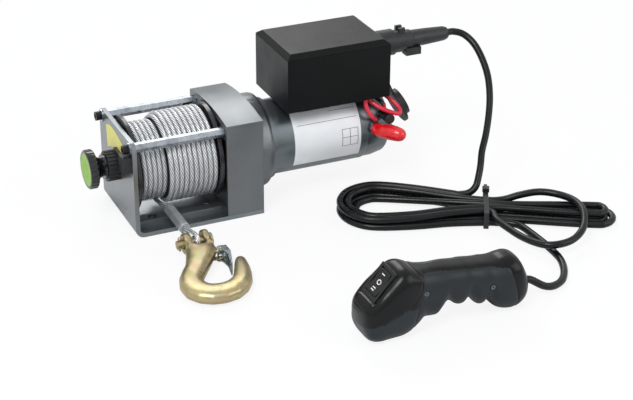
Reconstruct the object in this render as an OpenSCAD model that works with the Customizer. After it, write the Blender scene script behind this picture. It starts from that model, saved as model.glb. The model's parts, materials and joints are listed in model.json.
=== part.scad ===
// Electric recovery winch for 12 V, with wire rope, hook, control box and wired handset.
// X runs along the drum axis from the clutch knob to the motor, -Y is the side that the rope
// leaves, Z is up. The origin is the middle of the mounting bolts on the base's underside.
// Every module is drawn from the end plate's outer face and set back by at_plate().

/* [Frame] */
// Width of the base, the end plate and the gear housing
frame_w = 90.4; // [88:0.4:100]
// Height of the end plate
plate_h = 88.4; // [87:0.2:100]
// Thickness of the frame's steel sheet
sheet_t = 4; // [3:0.1:5]
// Outer radius of the bend and of the plate's top corners
bend_r = 8; // [6:0.5:10]
// Height of the drum axis over the base's underside
axis_z = 51.4; // [51:0.1:56]
// Distance from the end plate to the middle of the mounting bolts
bolts_x = 47; // [42:1:52]
// Spacing of the mounting bolts along the drum
bolt_span_x = 50; // [46:1:54]
// Spacing of the mounting bolts across the drum
bolt_span_y = 47; // [44:1:50]
// Radius of the mounting bolts' holes in the base and the bars
bolt_hole_r = 4.3; // [4:0.1:5]
// Width of a mounting bar
bar_w = 13; // [11:0.5:14]
// Thickness of a mounting bar
bar_t = 3; // [2.4:0.1:3.2]

/* [Tie bars] */
// Distance of the tie bars from the drum axis, across
tie_y = 37.5; // [37:0.5:38]
// Height of the tie bars over the base's underside
tie_z = 82.5; // [82:0.1:83]
// Distance between the flats of a tie bar
tie_flats = 7.6; // [7:0.1:8]
// Diameter of the tie bars' screws
tie_screw_d = 4.8; // [4:0.1:5]
// Diameter of the screws' heads
tie_head_d = 8; // [7:0.1:8.5]

/* [Drum] */
// Radius of the drum's flanges
flange_r = 42.5; // [42:0.1:43]
// Thickness of the left flange
left_flange_t = 3.5; // [3:0.1:4]
// Thickness of the right flange
right_flange_t = 4; // [3:0.1:4.5]
// Gap between the end plate and the left flange
left_gap = 1.5; // [1:0.1:1.8]
// Length of the drum between its flanges
barrel_l = 71; // [70:0.1:71.2]
// Radius of the drum's barrel
barrel_r = 19; // [18:0.5:22]
// Radius of the drum's bore, which the clutch rod passes
drum_bore_r = 7; // [6.5:0.1:8]
// Radius of the drum's journals
journal_r = 11; // [10:0.1:12]
// Diameter of the wire rope
rope_d = 4; // [3.8:0.1:4.1]
// Radius of the lower layer of rope, at its middle
low_layer_r = 33; // [32.6:0.1:33.2]
// Radius of the upper layer of rope, at its middle
high_layer_r = 38.5; // [38.2:0.1:38.6]

/* [Gearbox] */
// Gap between the drum's right flange and the gear housing's open side
hood_gap = 1; // [1:0.1:2]
// Length of the gear housing over the base
gearbox_l = 34; // [29:0.5:55]
// Height of the gear housing's side walls
hood_h = 90; // [89.5:0.5:94]
// Rise of the gear housing's arched roof
hood_rise = 4.7; // [3:0.1:6]
// Wall of the gear housing
hood_wall = 3; // [2.5:0.1:3.2]
// Radius of the housing's round neck
neck_r = 42.5; // [42:0.1:43]
// Length of the housing's round neck
neck_l = 13; // [12.5:0.1:14]
// Module of the gear teeth
tooth_m = 1; // [0.95:0.01:1.03]
// Width of the gears
gear_w = 8; // [7:0.1:8.5]
// Radius of the planet pins
planet_pin_r = 3; // [2.5:0.1:3.5]

/* [Motor] */
// Radius of the motor's body
motor_r = 34.1; // [33.8:0.1:34.5]
// Length of the motor's body
motor_l = 89; // [88:0.5:92]
// Radius of the motor's flange
motor_flange_r = 37; // [36:0.1:38]
// Thickness of the motor's flange
motor_flange_t = 5; // [4:0.1:6]
// Length of the motor's end cap
end_cap_l = 24; // [23:0.5:26]
// Wall of the motor's body
motor_wall = 2.5; // [2:0.1:3]
// Radius of the motor shaft
shaft_r = 4; // [3.5:0.1:4.4]

/* [Control box] */
// Distance from the motor's near end to the control box's left side
box_inset = 9; // [8:0.5:11]
// Length of the control box
box_l = 99; // [95:0.5:100]
// Width of the control box
box_w = 73.2; // [68:0.2:78]
// Height of the control box's body
box_h = 49; // [46:0.5:54]
// Gap between the motor and the control box
box_lift = 2.1; // [1.5:0.1:4]
// Wall of the control box
box_wall = 2.5; // [2:0.1:3]
// Height of the lid
lid_h = 4.6; // [4:0.1:6]
// Slope of the lid's edges
lid_bevel = 4.8; // [3:0.1:6]
// Radius of the socket's collar
socket_r = 10.5; // [9.5:0.1:11]
// Length of the plug
plug_l = 46; // [42:1:52]

/* [Hook] */
// Place of the eye and the hook along the drum
rope_x = 38.5; // [36:0.5:40]
// Distance from the drum axis to the hook's pin
pin_reach = 87.5; // [86:0.5:92]
// Radius of the hook's pin
pin_r = 3.9; // [3.5:0.1:4]
// Thickness of the hook
hook_t = 13; // [12:0.1:14]

/* [Handset] */
// Length of the handset
handset_l = 151; // [140:1:165]
// Height of the handset
handset_h = 60; // [56:1:66]
// Thickness of the handset at its head
handset_t = 40; // [36:1:44]
// Diameter of the control cord
cord_d = 6.4; // [6:0.1:6.6]

/* [Hidden] */
$fn = 64;

// Overrun of a cut, clearance of pieces that move past each other, and fits of shafts and seats
over = 1;
gap = 0.3;
run = 0.06;
seat = 0.05;
$fa = 6;

// A piece is drawn from the end plate's outer face
module at_plate() { translate([-bolts_x, 0, 0]) children(); }
// A round piece is drawn along Z and turned onto the drum axis at x
module on_axis(x) { translate([x, 0, axis_z]) rotate([0, 90, 0]) children(); }
// A ring or tube along Z
module ring(r_out, r_in, l) {
  difference() {
    cylinder(r = r_out, h = l);
    translate([0, 0, -over]) cylinder(r = r_in, h = l + 2 * over);
  }
}
// A profile in X and Z, drawn across Y about the middle
module across(w) { translate([0, w / 2, 0]) rotate([90, 0, 0]) linear_extrude(w) children(); }
// A profile in Y and Z, drawn along X
module along(l) { rotate([90, 0, 90]) linear_extrude(l) children(); }
// A hexagon bar along Z, by its distance over the flats
module hex_bar(flats, l) { cylinder(r = flats / 2 / cos(30), h = l, $fn = 6); }
// A socket head cap screw along Z: the head sits on z = 0 and the shank goes down
module cap_screw(d, head_d, head_h, l) {
  difference() {
    cylinder(r = head_d / 2, h = head_h);
    translate([0, 0, head_h / 2]) hex_bar(head_d / 2, head_h);
  }
  translate([0, 0, -l]) cylinder(r = d / 2, h = l);
}

// Routes and tubes
function unit(v) = v / norm(v);
function mix(a, b, t) = a + (b - a) * t;
function ease(t) = let(u = max(0, min(1, t))) u * u * (3 - 2 * u);
function heading(p, i) = unit(p[min(i + 1, len(p) - 1)] - p[max(i - 1, 0)]);
// One side vector for each point, carried along so that the tube doesn't twist
function sides_of(p, n0) = [for (i = 0, n = n0; i < len(p);
  n = i + 1 < len(p) ? unit(n - (n * heading(p, i + 1)) * heading(p, i + 1)) : n, i = i + 1) n];
// A smooth curve through points, with n steps between two of them
function spline_at(a, b, c, d, t) = (2 * b + (c - a) * t + (2 * a - 5 * b + 4 * c - d) * t * t
  + (3 * b - a - 3 * c + d) * t * t * t) / 2;
function smooth(p, n) = concat([for (i = [0:len(p) - 2], k = [0:n - 1])
  spline_at(p[max(i - 1, 0)], p[i], p[i + 1], p[min(i + 2, len(p) - 1)], k / n)], [p[len(p) - 1]]);
// A tube with the given number of sides through points, closed at both ends
module tube(p, r, sides) {
  start = unit(cross(heading(p, 0), abs(heading(p, 0)[2]) > 0.9 ? [1, 0, 0] : [0, 0, 1]));
  n = sides_of(p, start);
  rings = [for (i = [0:len(p) - 1]) let(t = heading(p, i), b = cross(t, n[i]))
    for (k = [0:sides - 1]) p[i] + r * (cos(360 * k / sides) * n[i] + sin(360 * k / sides) * b)];
  last = (len(p) - 1) * sides;
  walls = [for (i = [0:len(p) - 2], k = [0:sides - 1]) let(a = i * sides + k,
    b = i * sides + (k + 1) % sides)
    each [[a, a + sides, b], [b, a + sides, b + sides]]];
  ends = [for (k = [1:sides - 2]) each [[0, k, k + 1], [last, last + k + 1, last + k]]];
  polyhedron(rings, concat(walls, ends));
}

// Places along X
flange_x = sheet_t + left_gap;
barrel_x = flange_x + left_flange_t;
right_flange_x = barrel_x + barrel_l;
hood_x = right_flange_x + right_flange_t + hood_gap;
frame_l = hood_x + gearbox_l;
neck_x = frame_l;
motor_flange_x = neck_x + neck_l;
motor_x = motor_flange_x + motor_flange_t;
end_cap_x = motor_x + motor_l;
motor_end_x = end_cap_x + end_cap_l;
box_x = motor_x + box_inset;
box_floor_z = axis_z + motor_r + box_lift;
box_top_z = box_floor_z + box_h;

// Frame: one bent sheet with the base and the left end plate
base_screw_d = 5.8;
base_screw_y = 34;
base_screw_inset = 9;
base_screw_l = 12;
bush_r = journal_r + run + 3;
clutch_screw_clear = 0.4;
module frame_outline() {
  square([frame_w, plate_h - bend_r]);
  translate([bend_r, 0]) square([frame_w - 2 * bend_r, plate_h]);
  for (y = [bend_r, frame_w - bend_r]) translate([y, plate_h - bend_r]) circle(r = bend_r);
}
module frame_profile() {
  translate([bend_r, 0]) square([frame_l - bend_r, sheet_t]);
  translate([0, bend_r]) square([sheet_t, plate_h - bend_r]);
  intersection() {
    square([bend_r, bend_r]);
    translate([bend_r, bend_r]) difference() {
      circle(r = bend_r);
      circle(r = bend_r - sheet_t);
    }
  }
}
module bolt_places() {
  for (x = [-1, 1], y = [-1, 1])
    translate([bolts_x + x * bolt_span_x / 2, y * bolt_span_y / 2, 0]) children();
}
module base_screw_places() {
  for (x = [hood_x + base_screw_inset, frame_l - base_screw_inset], y = [-1, 1])
    translate([x, y * base_screw_y, 0]) children();
}
module tie_places(x) { for (y = [-1, 1]) translate([x, y * tie_y, tie_z]) rotate([0, 90, 0]) children(); }
module base_frame() {
  color("#8d9496") at_plate() difference() {
    intersection() {
      across(frame_w) frame_profile();
      translate([0, -frame_w / 2, 0]) along(frame_l) frame_outline();
    }
    on_axis(-over) cylinder(r = bush_r, h = sheet_t + 2 * over);
    tie_places(-over) cylinder(r = tie_screw_d / 2 + clutch_screw_clear, h = sheet_t + 2 * over);
    bolt_places() translate([0, 0, -over]) cylinder(r = bolt_hole_r, h = sheet_t + 2 * over);
    base_screw_places() {
      translate([0, 0, -over]) cylinder(r = base_screw_d / 2, h = sheet_t + 2 * over);
      cylinder(r1 = base_screw_d, r2 = base_screw_d / 2, h = base_screw_d / 2);
    }
  }
}
// Two bars on the base that the mounting bolts' nuts bear on
module mounting_bars() {
  color("#6f7678") at_plate() difference() {
    for (y = [-1, 1]) translate([bend_r + gap, y * bolt_span_y / 2 - bar_w / 2, sheet_t])
      cube([hood_x - bend_r - 2 * gap, bar_w, bar_t]);
    bolt_places() translate([0, 0, sheet_t - over]) cylinder(r = bolt_hole_r, h = bar_t + 2 * over);
  }
}
// Tie bars between the end plate and the gear housing
tie_head_h = 5;
washer_t = 1.2;
washer_r = 5.6;
tie_grip = 9;
tie_l = hood_x - sheet_t;
module tie_bars() {
  color("#c9ced4") at_plate() difference() {
    tie_places(sheet_t) rotate([0, 0, 30]) hex_bar(tie_flats, tie_l);
    tie_places(sheet_t - over) cylinder(r = tie_screw_d / 2 + seat, h = tie_grip + over);
    tie_places(hood_x - tie_grip) cylinder(r = tie_screw_d / 2 + seat, h = tie_grip + over);
  }
}
// Cap screws and studs of the tie bars, and the countersunk screws under the gear housing
module frame_screws() {
  color("#1c1c1e") at_plate() {
    tie_places(-washer_t) rotate([180, 0, 0]) cap_screw(tie_screw_d, tie_head_d, tie_head_h,
      washer_t + sheet_t + tie_grip - gap);
    tie_places(hood_x - tie_grip + gap) cylinder(r = tie_screw_d / 2, h = tie_grip + hood_wall);
    base_screw_places() {
      translate([0, 0, seat]) cylinder(r1 = base_screw_d - 2 * seat, r2 = base_screw_d / 2 - seat,
        h = base_screw_d / 2);
      cylinder(r = base_screw_d / 2 - seat, h = base_screw_l);
    }
  }
}
module frame_washers() {
  color("#b9bec2") at_plate() tie_places(-washer_t) ring(washer_r, tie_screw_d / 2 + seat, washer_t);
}

// Clutch: a ribbed boss with a detent block on the end plate, a rod through the drum and a knob
clutch_r = 13.5;
clutch_l = 11;
clutch_rib_n = 22;
clutch_rib_h = 0.9;
rod_r = 4.5;
detent_low_z = 62;
detent_high_z = 76.6;
detent_out_y = 43;
detent_in_y = 31;
detent_web_t = 3;
detent_t = 8;
knob_r = 17.3;
knob_rim_t = 7.6;
knob_l = 16.7;
knob_neck_r = 8;
knob_neck_l = 14;
knob_stem_r = 5.6;
knob_collar_r = 11;
knob_collar_t = 2;
knob_disc_r = 14.4;
knob_disc_t = 0.8;
knob_gap = 0.5;
knob_flute_n = 24;
knob_flute_r = 1.1;
// Points of a circle with ribs along it
function ribbed(r_in, r_out, n) = [for (k = [0:n - 1], s = [[0, r_in], [0.4, r_in], [0.5, r_out], [0.9,
  r_out]])
  s[1] * [cos(360 * (k + s[0]) / n), sin(360 * (k + s[0]) / n)]];
module clutch_housing() {
  color("#232426") at_plate() difference() {
    union() {
      on_axis(-clutch_l) linear_extrude(clutch_l) polygon(ribbed(clutch_r - clutch_rib_h, clutch_r,
        clutch_rib_n));
      translate([-detent_t, -detent_out_y, detent_low_z])
        cube([detent_t, detent_out_y - detent_in_y, detent_high_z - detent_low_z]);
      translate([-detent_web_t, -detent_in_y - over, detent_low_z]) cube([detent_web_t, detent_in_y,
        clutch_r / 2]);
    }
    on_axis(-clutch_l - over) cylinder(r = knob_stem_r + gap, h = clutch_l - sheet_t + over);
    on_axis(-clutch_l) cylinder(r = rod_r + run, h = clutch_l + over);
  }
}
module drum_bushes() {
  color("#b5894a") at_plate() {
    on_axis(seat) ring(bush_r - seat, journal_r + run, sheet_t + left_gap - gap - seat);
    on_axis(housing_wall_x + seat) ring(hub_bush_r - seat, hub_r + run, housing_wall_t - 2 * seat);
  }
}
module clutch_rod() {
  color("#b0b4b8") at_plate() {
    on_axis(-clutch_l - knob_gap - knob_l + knob_rim_t + gap) cylinder(r = rod_r,
      h = clutch_l + knob_gap + knob_l - knob_rim_t - gap + rod_end_x);
    on_axis(rod_end_x) hex_bar(2 * rod_r, rod_hex_l);
  }
}
module clutch_knob() {
  x_face = -clutch_l - knob_gap - knob_l;
  neck = knob_r - knob_neck_r;
  color("#1b1b1d") at_plate() difference() {
    on_axis(x_face) rotate_extrude() polygon([[0, 0], [knob_r - knob_flute_r, 0], [knob_r, knob_flute_r],
      [knob_r, knob_rim_t - knob_flute_r], [knob_r - knob_flute_r, knob_rim_t],
      [knob_neck_r + neck * 0.42, knob_rim_t + (knob_neck_l - knob_rim_t) * 0.22],
      [knob_neck_r + neck * 0.14, knob_rim_t + (knob_neck_l - knob_rim_t) * 0.55], [knob_neck_r,
        knob_neck_l],
      [knob_neck_r, knob_l - knob_collar_t], [knob_collar_r, knob_l - knob_collar_t], [knob_collar_r,
        knob_l], [0, knob_l]]);
    for (k = [0:knob_flute_n - 1]) on_axis(x_face - over) rotate([0, 0, 360 * k / knob_flute_n])
      translate([knob_r + knob_flute_r / 4, 0, 0]) cylinder(r = knob_flute_r, h = knob_rim_t + 2 * over,
        $fn = 12);
    on_axis(x_face - over) cylinder(r = knob_disc_r + seat, h = over + knob_disc_t);
    on_axis(x_face + knob_rim_t) cylinder(r = rod_r + run, h = knob_l);
  }
}
// Coloured disc let into the knob's face
module knob_disc() {
  color("#8cc832") at_plate() on_axis(-clutch_l - knob_gap - knob_l) difference() {
    cylinder(r = knob_disc_r, h = knob_disc_t);
    translate([0, 0, -over]) ring(knob_disc_r * 0.45, knob_disc_r * 0.4, over + knob_disc_t / 3);
  }
}

// Gearbox: a cast housing with one ring gear and two planet stages
housing_wall_x = hood_x + 4;
housing_wall_t = 3.5;
hub_r = 13;
hub_bush_r = hub_r + run + 2.5;
ring_n = 60;
planet_n = 24;
sun_n = 12;
planet_reach = (sun_n + planet_n) * tooth_m / 2;
ring_out_r = 37.5;
ring_x = housing_wall_x + housing_wall_t;
carrier_t = 3;
stage_gap = 0.8;
drum_carrier_x = ring_x + stage_gap / 2;
drum_gear_x = drum_carrier_x + carrier_t + stage_gap / 2;
motor_carrier_x = drum_gear_x + gear_w + stage_gap;
motor_gear_x = motor_carrier_x + carrier_t + stage_gap / 2;
ring_l = motor_gear_x + gear_w + stage_gap - ring_x;
carrier_r = 25;
rod_end_x = drum_carrier_x - 4;
rod_hex_l = 5;
roof_r = (frame_w * frame_w / 4 + hood_rise * hood_rise) / (2 * hood_rise);
// Involute teeth: the flank's angle at radius r, about the tooth's middle
press = 25;
backlash = 0.09;
tip_share = 0.8;
root_share = 1.05;
function inv(a) = tan(a) * 180 / PI - a;
function flank(n, r) = let(rb = tooth_m * n / 2 * cos(press)) r <= rb ? inv(press) : inv(press) -
  inv(acos(rb / r));
function half_tooth(n, r, thin) = 90 / n + flank(n, r) - thin / (tooth_m * n / 2) * 180 / PI;
flank_steps = 3;
// Outline of a gear with n teeth, one of them centred on turn
function gear_outline(n, tip, root, thin, turn) = [for (k = [0:n - 1], s = [-1, 1], j = [0:flank_steps])
  let(u = s < 0 ? j / flank_steps : 1 - j / flank_steps, r = mix(root, tip, u),
      a = turn + 360 * k / n + s * half_tooth(n, r, thin)) r * [cos(a), sin(a)]];
module gear(n, w, turn) {
  r = tooth_m * n / 2;
  linear_extrude(w) polygon(gear_outline(n, r + tip_share * tooth_m, r - root_share * tooth_m, backlash,
    turn));
}
module gear_housing() {
  color("#7d8384") at_plate() difference() {
    union() {
      intersection() {
        translate([hood_x, -frame_w / 2, sheet_t]) cube([frame_l - hood_x, frame_w,
          hood_h + hood_rise - sheet_t]);
        translate([hood_x, 0, hood_h + hood_rise - roof_r]) rotate([0, 90, 0]) cylinder(r = roof_r,
          h = frame_l - hood_x, $fn = 360);
      }
      on_axis(neck_x - over) rotate_extrude() polygon([[0, 0], [neck_r, 0], [neck_r, neck_l - hood_wall],
        [neck_r - hood_wall / 4, neck_l - hood_wall / 4], [neck_r - hood_wall, neck_l + over], [0,
          neck_l + over]]);
    }
    // Open side, between the walls and the bosses of the tie bars' screws
    difference() {
      translate([hood_x - over, -frame_w / 2 + hood_wall, 0])
        cube([housing_wall_x - hood_x + over, frame_w - 2 * hood_wall, hood_h - hood_wall]);
      tie_places(hood_x) cylinder(r = tie_flats, h = housing_wall_x - hood_x + over);
    }
    tie_places(hood_x - over) cylinder(r = tie_screw_d / 2 + seat, h = housing_wall_x - hood_x + hood_wall);
    on_axis(housing_wall_x - over) cylinder(r = hub_bush_r, h = housing_wall_t + 2 * over);
    on_axis(ring_x) cylinder(r = ring_out_r + seat, h = motor_flange_x - ring_x + 2 * over);
    base_screw_places() cylinder(r = base_screw_d / 2, h = base_screw_l + sheet_t);
  }
}
module ring_gear() {
  r = tooth_m * ring_n / 2;
  color("#9aa0a4") at_plate() on_axis(ring_x) difference() {
    cylinder(r = ring_out_r, h = ring_l);
    translate([0, 0, -over]) linear_extrude(ring_l + 2 * over)
      polygon(gear_outline(ring_n, r + root_share * tooth_m, r - tip_share * tooth_m, -backlash, 0));
  }
}
module carrier(w) {
  cylinder(r = carrier_r, h = carrier_t);
  for (k = [0:2]) rotate([0, 0, 120 * k]) translate([planet_reach, 0, 0])
    cylinder(r = planet_pin_r, h = carrier_t + stage_gap / 2 + w);
}
module planet(x, k) {
  color("#a8adb0") at_plate() on_axis(x) rotate([0, 0, 120 * k]) translate([planet_reach, 0,
    0]) difference() {
    gear(planet_n, gear_w, 0);
    translate([0, 0, -over]) cylinder(r = planet_pin_r + run, h = gear_w + 2 * over);
  }
}
module drum_carrier() {
  color("#8b9094") at_plate() difference() {
    on_axis(drum_carrier_x) carrier(gear_w - stage_gap / 2);
    on_axis(drum_carrier_x - over) rotate([0, 0, 0]) hex_bar(2 * hub_hex_r, carrier_t + 2 * over);
  }
}
hub_hex_r = 9;
module motor_carrier() {
  color("#8b9094") at_plate() difference() {
    union() {
      on_axis(motor_carrier_x) carrier(gear_w - stage_gap / 2);
      on_axis(drum_gear_x) gear(sun_n, motor_carrier_x - drum_gear_x + seat, 180 / sun_n);
    }
    on_axis(drum_gear_x - over) cylinder(r = sun_bore_r, h = over + carrier_t);
  }
}
sun_bore_r = 2;
module drum_planet_a() { planet(drum_gear_x, 0); }
module drum_planet_b() { planet(drum_gear_x, 1); }
module drum_planet_c() { planet(drum_gear_x, 2); }
module motor_planet_a() { planet(motor_gear_x, 0); }
module motor_planet_b() { planet(motor_gear_x, 1); }
module motor_planet_c() { planet(motor_gear_x, 2); }

// Drum with its two flanges, its journal on the left and its hub on the right
module drum() {
  color("#2b2c2e") at_plate() difference() {
    union() {
      on_axis(seat + gap) cylinder(r = journal_r, h = flange_x);
      on_axis(flange_x) cylinder(r = flange_r, h = left_flange_t);
      on_axis(flange_x) cylinder(r = barrel_r, h = right_flange_x - flange_x + right_flange_t);
      on_axis(right_flange_x) cylinder(r = flange_r, h = right_flange_t);
      on_axis(right_flange_x) cylinder(r = hub_r, h = drum_carrier_x - right_flange_x - seat);
      on_axis(drum_carrier_x - over) hex_bar(2 * hub_hex_r - 2 * seat, over + carrier_t - seat);
    }
    on_axis(-over) cylinder(r = drum_bore_r, h = drum_gear_x);
  }
}
// Rope on the drum: a plain core under one wound tube, which climbs to the upper layer once
wind_gap = 0.45;
wind_pitch = rope_d + wind_gap;
wind_rings = 24;
wind_first_x = barrel_x + rope_d / 2 + gap;
wind_last_x = right_flange_x - rope_d / 2 - gap;
wind_turns = (wind_last_x - wind_first_x) / wind_pitch;
low_turns = 5;
climb_turn = low_turns + 0.15;
climb_share = 0.5;
climb_x = wind_first_x + wind_pitch * low_turns;
function wind_r(t) = mix(low_layer_r, high_layer_r, ease((t - climb_turn) / climb_share));
function wind_at(t) = [wind_first_x + wind_pitch * t, wind_r(t) * sin(360 * t),
  axis_z - wind_r(t) * cos(360 * t)];
wind_n = floor(wind_turns * wind_rings);
wind_line = [for (i = [0:wind_n]) wind_at(i / wind_rings)];
wind_ends = [wind_line[0] + rope_d * unit(wind_line[0] - wind_line[1]),
  wind_line[wind_n] + rope_d * unit(wind_line[wind_n] - wind_line[wind_n - 1])];
wind_path = concat([wind_ends[0]], wind_line, [wind_ends[1]]);
// Least gap of a wound tube to itself, past its next-door rings
function least_gap(p, r, skip) = min([for (i = [0:len(p) - 1 - skip],
  j = [i + skip:len(p) - 1]) norm(p[i] - p[j])]) - 2 * r;
echo(winding_gap = least_gap(wind_path, rope_d / 2, wind_rings / 2));
module rope_winding() {
  low_core = low_layer_r - rope_d / 2 - gap;
  high_core = high_layer_r - rope_d / 2 - gap;
  color("#a9adb0") at_plate() {
    on_axis(barrel_x + seat) ring(low_core, barrel_r + seat, climb_x + wind_pitch - barrel_x - seat);
    on_axis(climb_x + wind_pitch - seat) ring(high_core, barrel_r + seat,
      right_flange_x - climb_x - wind_pitch);
    tube(wind_path, rope_d / 2, 6);
  }
}

// Motor
bearing_r = 9;
bearing_t = 6;
magnet_t = 5;
magnet_l = 62;
air_gap = 1;
core_l = 57;
core_x = motor_x + 8;
brush_x = core_x + core_l + 4;
commutator_r = 10;
commutator_l = 11;
motor_bolt_r = 2;
motor_bolt_reach = 28.2;
cap_round = 6;
cap_inset = 0.8;
cap_straight_l = 10;
module motor_flange() {
  color("#35383a") at_plate() difference() {
    union() {
      on_axis(motor_flange_x) cylinder(r = motor_flange_r, h = motor_flange_t);
      on_axis(motor_flange_x - motor_flange_t) cylinder(r = ring_out_r - seat, h = motor_flange_t + over);
      on_axis(motor_x - over) cylinder(r = motor_r - motor_wall - seat, h = over + motor_flange_t);
    }
    on_axis(motor_flange_x - motor_flange_t - over) cylinder(r = shaft_r + gap, h = 4 * motor_flange_t);
    on_axis(motor_x + motor_flange_t - bearing_t) cylinder(r = bearing_r + seat, h = bearing_t + over);
    motor_bolt_places() translate([0, 0, motor_flange_x - over]) cylinder(r = motor_bolt_r,
      h = 3 * motor_flange_t);
  }
}
module motor_bolt_places() {
  for (k = [0, 1]) translate([0, 0, axis_z]) rotate([0, 90, 0]) rotate([0, 0, 180 * k]) translate([0,
    motor_bolt_reach, 0]) children();
}
module motor_can() {
  color("#3c4142") at_plate() on_axis(motor_x) ring(motor_r, motor_r - motor_wall, motor_l);
}
module motor_end_cap() {
  color("#2c2e30") at_plate() difference() {
    on_axis(end_cap_x) rotate_extrude() polygon(concat([[0, -motor_flange_t],
      [motor_r - motor_wall - seat, -motor_flange_t],
      [motor_r - motor_wall - seat, 0], [motor_r - cap_inset, 0], [motor_r - cap_inset, cap_straight_l]],
      [for (a = [0:15:90]) [motor_r - 3 * cap_inset - cap_round * (1 - cos(a)),
        end_cap_l - cap_round + cap_round * sin(a)]], [[0, end_cap_l]]));
    on_axis(end_cap_x - motor_flange_t - over) cylinder(r = motor_r - 3 * motor_wall,
      h = end_cap_l + motor_flange_t - motor_wall - bearing_t);
    on_axis(end_cap_x + end_cap_l - motor_wall - bearing_t - over) cylinder(r = bearing_r + seat,
      h = bearing_t + over);
    motor_bolt_places() translate([0, 0, end_cap_x - motor_flange_t - over]) cylinder(r = motor_bolt_r +
      seat, h = end_cap_l + motor_flange_t + 2 * over);
    stud_at(stud_x, stud_z) translate([0, 0, -stud_root_l - over]) cylinder(r = stud_r + seat,
      h = stud_root_l + 2 * over);
    stud_at(upper_stud_x, upper_stud_z) translate([0, 0, -stud_root_l - over]) cylinder(r = stud_r + seat,
      h = stud_root_l + 2 * over);
    stud_at(stud_x, stud_z) cylinder(r = spot_r, h = stud_l);
    stud_at(upper_stud_x, upper_stud_z) cylinder(r = spot_r, h = stud_l);
  }
}
module motor_bolts() {
  color("#c4c8cc") at_plate() motor_bolt_places() {
    translate([0, 0, motor_flange_x + over]) cylinder(r = motor_bolt_r - seat,
      h = end_cap_x + end_cap_l - motor_flange_x - over);
    translate([0, 0, end_cap_x + end_cap_l]) cylinder(r = 2 * motor_bolt_r, h = motor_bolt_r);
  }
}
module motor_bearings() {
  color("#c8ccd0") at_plate() {
    on_axis(motor_x + motor_flange_t - bearing_t + seat) ring(bearing_r, shaft_r + run, bearing_t - seat);
    on_axis(end_cap_x + end_cap_l - motor_wall - bearing_t - over + seat) ring(bearing_r, shaft_r + run,
      bearing_t + over - 2 * seat);
  }
}
module motor_magnets() {
  r = motor_r - motor_wall - seat;
  color("#4a4a4c") at_plate() on_axis(motor_x + motor_flange_t + 2 * gap) for (k = [0, 1])
    rotate([0, 0, 180 * k - 60]) rotate_extrude(angle = 120) translate([r - magnet_t,
      0]) square([magnet_t, magnet_l]);
}
module armature() {
  color("#b07a4a") at_plate() {
    on_axis(motor_gear_x + gear_w) cylinder(r = shaft_r,
      h = end_cap_x + end_cap_l - motor_wall - over - motor_gear_x - gear_w);
    on_axis(motor_gear_x) gear(sun_n, gear_w, 180 / sun_n);
    on_axis(core_x) cylinder(r = motor_r - motor_wall - magnet_t - air_gap, h = core_l);
    on_axis(brush_x) cylinder(r = commutator_r, h = commutator_l);
  }
}
brush_w = 7;
brush_l = 9;
holder_t = 3;
module brush_holder() {
  color("#6b4a2c") at_plate() difference() {
    on_axis(brush_x + commutator_l) ring(motor_r - motor_wall - seat, commutator_r + gap, holder_t);
    motor_bolt_places() translate([0, 0, brush_x]) cylinder(r = motor_bolt_r + seat,
      h = commutator_l + holder_t + over);
  }
}
module brushes() {
  color("#3a3a3a") at_plate() for (k = [-1, 1]) translate([brush_x + gap,
    k * (commutator_r + gap + brush_l / 2), axis_z])
    translate([0, -brush_l / 2, -brush_w / 2]) cube([commutator_l - gap, brush_l, brush_w]);
}

// Terminals on the motor's end cap, with their boots and leads
stud_r = 2.9;
stud_l = 9;
stud_z = 58;
stud_root_l = 7;
spot_r = 6;
stud_inset = 6;
upper_stud_inset = 16;
stud_x = end_cap_x + stud_inset;
upper_stud_x = end_cap_x + upper_stud_inset;
upper_stud_z = 68.5;
nut_flats = 9.6;
nut_t = 4;
boot_r = 6.8;
boot_l = 30;
boot_angle = 34;
small_boot_r = 4.6;
small_boot_l = 12;
// Distance from the drum axis across, where the end cap's skin lies at height z
function skin_y(r, z) = sqrt(r * r - (z - axis_z) * (z - axis_z));
module stud_at(x, z) { translate([x, -skin_y(motor_r - 1, z), z]) rotate([90, 0, 0]) children(); }
module stud(x, z) {
  stud_at(x, z) {
    translate([0, 0, -stud_root_l]) cylinder(r = stud_r, h = stud_l + stud_root_l);
    translate([0, 0, gap]) hex_bar(nut_flats, nut_t);
  }
}
module terminals() {
  color("#d4d8dc") at_plate() {
    stud(stud_x, stud_z);
    stud(upper_stud_x, upper_stud_z);
  }
}
// The boot runs straight over the nut, turns, swells, and ends in a closed dome; the black one has a plain bore
boot_sides = 16;
boot_shares = [[0, 0.8], [0.16, 0.88], [0.3, 1], [0.5, 1.04], [0.7, 1], [0.84, 0.9], [0.93, 0.7], [0.98,
  0.42], [1, 0.14]];
function boot_at(f) = let(a = boot_angle * min(1, f * 2.5)) [boot_l * f * sin(a), 0, boot_l * f * cos(a)];
boot_rings = [for (q = boot_shares) let(a = boot_angle * min(1, q[0] * 2.5))
  [for (k = [0:boot_sides - 1]) boot_at(q[0]) + boot_r * q[1] * [cos(360 * k / boot_sides) * cos(a),
    sin(360 * k / boot_sides), -cos(360 * k / boot_sides) * sin(a)]]];
module terminal_boots() {
  at_plate() {
    color("#e3121c") stud_at(stud_x, stud_z) translate([0, 0, nut_t + 2 * gap]) difference() {
      skin(boot_rings);
      translate([0, 0, -over]) cylinder(r = stud_r + gap, h = stud_l - nut_t + over);
    }
    color("#1a1a1c") stud_at(upper_stud_x, upper_stud_z) translate([0, 0, nut_t + 2 * gap]) difference() {
      cylinder(r = small_boot_r, h = small_boot_l);
      translate([0, 0, -over]) cylinder(r = stud_r + gap, h = stud_l - nut_t + over);
    }
  }
}
lead_d = 4;
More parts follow.
